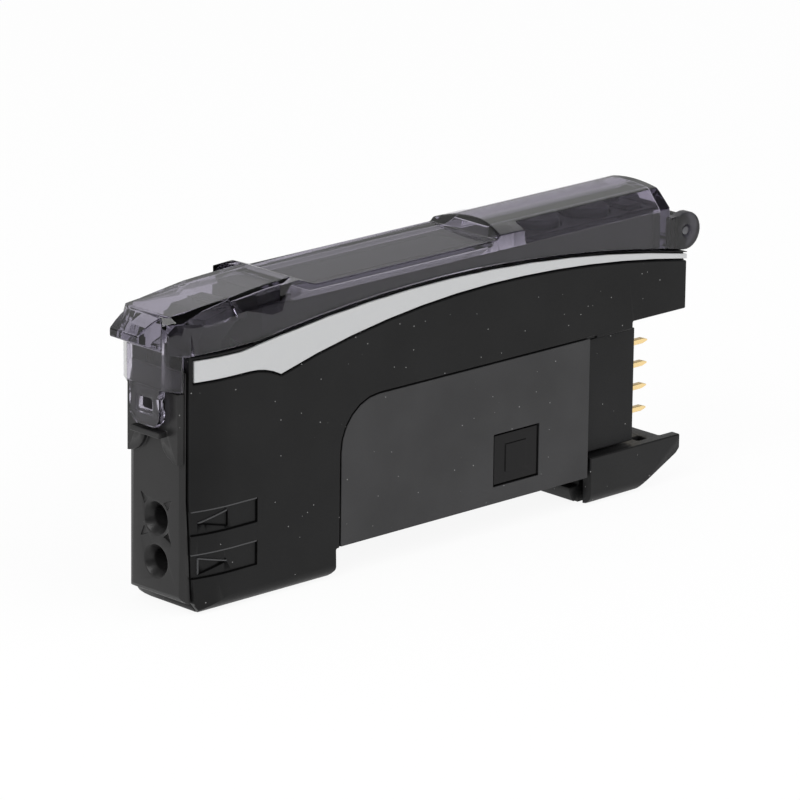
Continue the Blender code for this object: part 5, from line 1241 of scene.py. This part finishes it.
@dataclass
class Studio:
    """White floor and surroundings, soft lamps, and the camera of the photograph."""

    floor_z: float = -3.1 * MM
    floor_reach: float = 4.0
    floor_colour: Colour = (0.80, 0.80, 0.80)
    floor_glow: float = 0.91
    sky_light: float = 0.62
    sky_tones: tuple[Flat, ...] = ((0.26, 0.42), (0.46, 1.0), (0.66, 1.0), (0.84, 0.18))
    front_room: float = 0.15
    room_y: Flat = (-0.3, 0.25)
    floor_cells: int = 8
    azimuth: float = -43.74
    elevation: float = 16.71
    roll: float = 0.73
    distance: float = 647.09 * MM
    focal: float = 6374.0
    frame_size: float = 800.0
    clip: Flat = (0.01, 50.0)
    sensor: float = 36.0
    anchor: Point = (-17.98 * MM, -5.0 * MM, 0.0)
    anchor_pixel: Flat = (338.7, 548.4)
    lamps: list[Lamp] = field(
        default_factory=lambda: [
            Lamp("front_lamp", (-0.55, -0.12, 0.42), (-0.01, 0.0, 0.012), 0.45, 3.2),
            Lamp("side_lamp", (0.25, -0.75, 0.45), (0.0, 0.0, 0.012), 0.6, 3.0, False),
            Lamp("fill_lamp", (0.75, -0.35, 0.5), (0.0, 0.0, 0.012), 0.6, 2.0, False),
        ]
    )

    def build(self) -> None:
        """Build the floor, the surroundings, the lamps and the camera."""
        self.floor()
        self.surroundings()
        for lamp in self.lamps:
            lamp.build()
        self.camera()
        bpy.context.scene.view_settings.view_transform = "Standard"

    @staticmethod
    def seen(made: Tree) -> bpy.types.NodeSocket:
        """Factor that is 1 for the rays that show the background, straight or in gloss and glass."""
        path = made.add("ShaderNodeLightPath").outputs
        shown = made.math("MAXIMUM", path["Is Camera Ray"], path["Is Glossy Ray"])
        return made.math("MAXIMUM", shown, path["Is Transmission Ray"])

    def floor(self) -> None:
        """Level white floor that keeps a faint shadow."""
        made = Nodes("floor_paint")
        mottle = made.spread(made.noise(0.35, 2.0), 0.0, 1.0)
        paler = tuple(1.02 * c for c in self.floor_colour)
        matt = made.add("ShaderNodeBsdfDiffuse", Color=made.blend(mottle, self.floor_colour, paler))
        glow = made.add("ShaderNodeEmission", Color=WHITE, Strength=1.0)
        mixed = made.mixed(made.math("MULTIPLY", self.seen(made), self.floor_glow), matt, glow)
        shape = bmesh.new()
        cells = self.floor_cells
        bmesh.ops.create_grid(shape, x_segments=cells, y_segments=cells, size=self.floor_reach)
        bmesh.ops.translate(shape, verts=shape.verts, vec=(0.0, 0.0, self.floor_z))
        plane = from_bmesh("floor", shape)
        plane.data.materials.append(made.close(mixed))

    def surroundings(self) -> None:
        """White world, plain for light and full white where it is seen."""
        world = bpy.data.worlds.new("studio")
        bpy.context.scene.world = world
        world.use_nodes = True
        made = Tree(world.node_tree)
        light = made.add("ShaderNodeBackground", Color=WHITE, Strength=self.sky_light)
        white = made.add("ShaderNodeBackground", Color=WHITE, Strength=self.sky_tone(made))
        mixed = made.mixed(self.seen(made), light, white)
        made.add("ShaderNodeOutputWorld", Surface=mixed.outputs[0])

    def sky_tone(self, made: Tree) -> bpy.types.NodeSocket:
        """Strength of the seen sky: white, but in gloss a bright band between darker walls and ceiling."""
        aim = made.add("ShaderNodeTexCoord").outputs["Generated"]
        split = made.add("ShaderNodeSeparateXYZ", Vector=aim).outputs
        rise = made.add("ShaderNodeValToRGB", Fac=split["Z"])
        stops = rise.color_ramp.elements
        while len(stops) < len(self.sky_tones):
            stops.new(1.0)
        for stop, (height, tone) in zip(stops, self.sky_tones):
            stop.position = height
            stop.color = (tone, tone, tone, 1.0)
        behind = made.ramp(split["Y"], *self.room_y, self.front_room, 1.0)
        mixed = made.add("ShaderNodeMix")
        gloss = made.add("ShaderNodeLightPath").outputs["Is Glossy Ray"]
        room = made.math("MULTIPLY", rise.outputs["Color"], behind)
        for socket, value in zip((mixed.inputs[0], mixed.inputs[2], mixed.inputs[3]), (gloss, 1.0, room)):
            made.feed(socket, value)
        return mixed.outputs[0]

    def camera(self) -> None:
        """Camera that stands where the photograph was taken from."""
        azimuth, elevation, roll = (math.radians(a) for a in (self.azimuth, self.elevation, self.roll))
        level = math.cos(elevation)
        back = Vector((math.sin(azimuth) * level, -math.cos(azimuth) * level, math.sin(elevation)))
        right = Vector((math.cos(azimuth), math.sin(azimuth), 0.0))
        up = back.cross(right)
        turned_right = right * math.cos(roll) + up * math.sin(roll)
        turned_up = up * math.cos(roll) - right * math.sin(roll)
        middle = self.frame_size / 2
        across = (self.anchor_pixel[0] - middle) / self.focal * self.distance
        above = (middle - self.anchor_pixel[1]) / self.focal * self.distance
        place = Vector(self.anchor) - (turned_right * across + turned_up * above - back * self.distance)
        data = bpy.data.cameras.new("photo_camera")
        data.sensor_width = self.sensor
        data.lens = self.focal / self.frame_size * self.sensor
        data.clip_start, data.clip_end = self.clip
        camera = bpy.data.objects.new("photo_camera", data)
        bpy.context.scene.collection.objects.link(camera)
        rows = Matrix((turned_right, turned_up, back)).transposed().to_4x4()
        camera.matrix_world = Matrix.Translation(place) @ rows
        bpy.context.scene.camera = camera


def report(group: str, pieces: Iterable[bpy.types.Object]) -> None:
    """Log each piece of a sub-assembly with its number of faces."""
    for piece in pieces:
        LOG.info("%s: %s, %d faces", group, piece.name, len(piece.data.polygons))


def main() -> None:
    """Build the sub-assemblies in order, then the studio."""
    logging.basicConfig(level=logging.INFO, format="%(name)s %(message)s", stream=sys.stdout)
    builders: list[tuple[str, Callable[[], list[bpy.types.Object]]]] = [
        ("case", CaseShell().build),
        ("mark fields", MarkFields().build),
        ("fibre entry", FibreEntry().build),
        ("electronics", Electronics().build),
        ("deck", OperationDeck().build),
        ("plug end", PlugEnd().build),
        ("rail hook", RailHook().build),
        ("cover", SmokedCover().build),
    ]
    for group, build in builders:
        report(group, build())
    Studio().build()


if __name__ == "__main__":
    main()
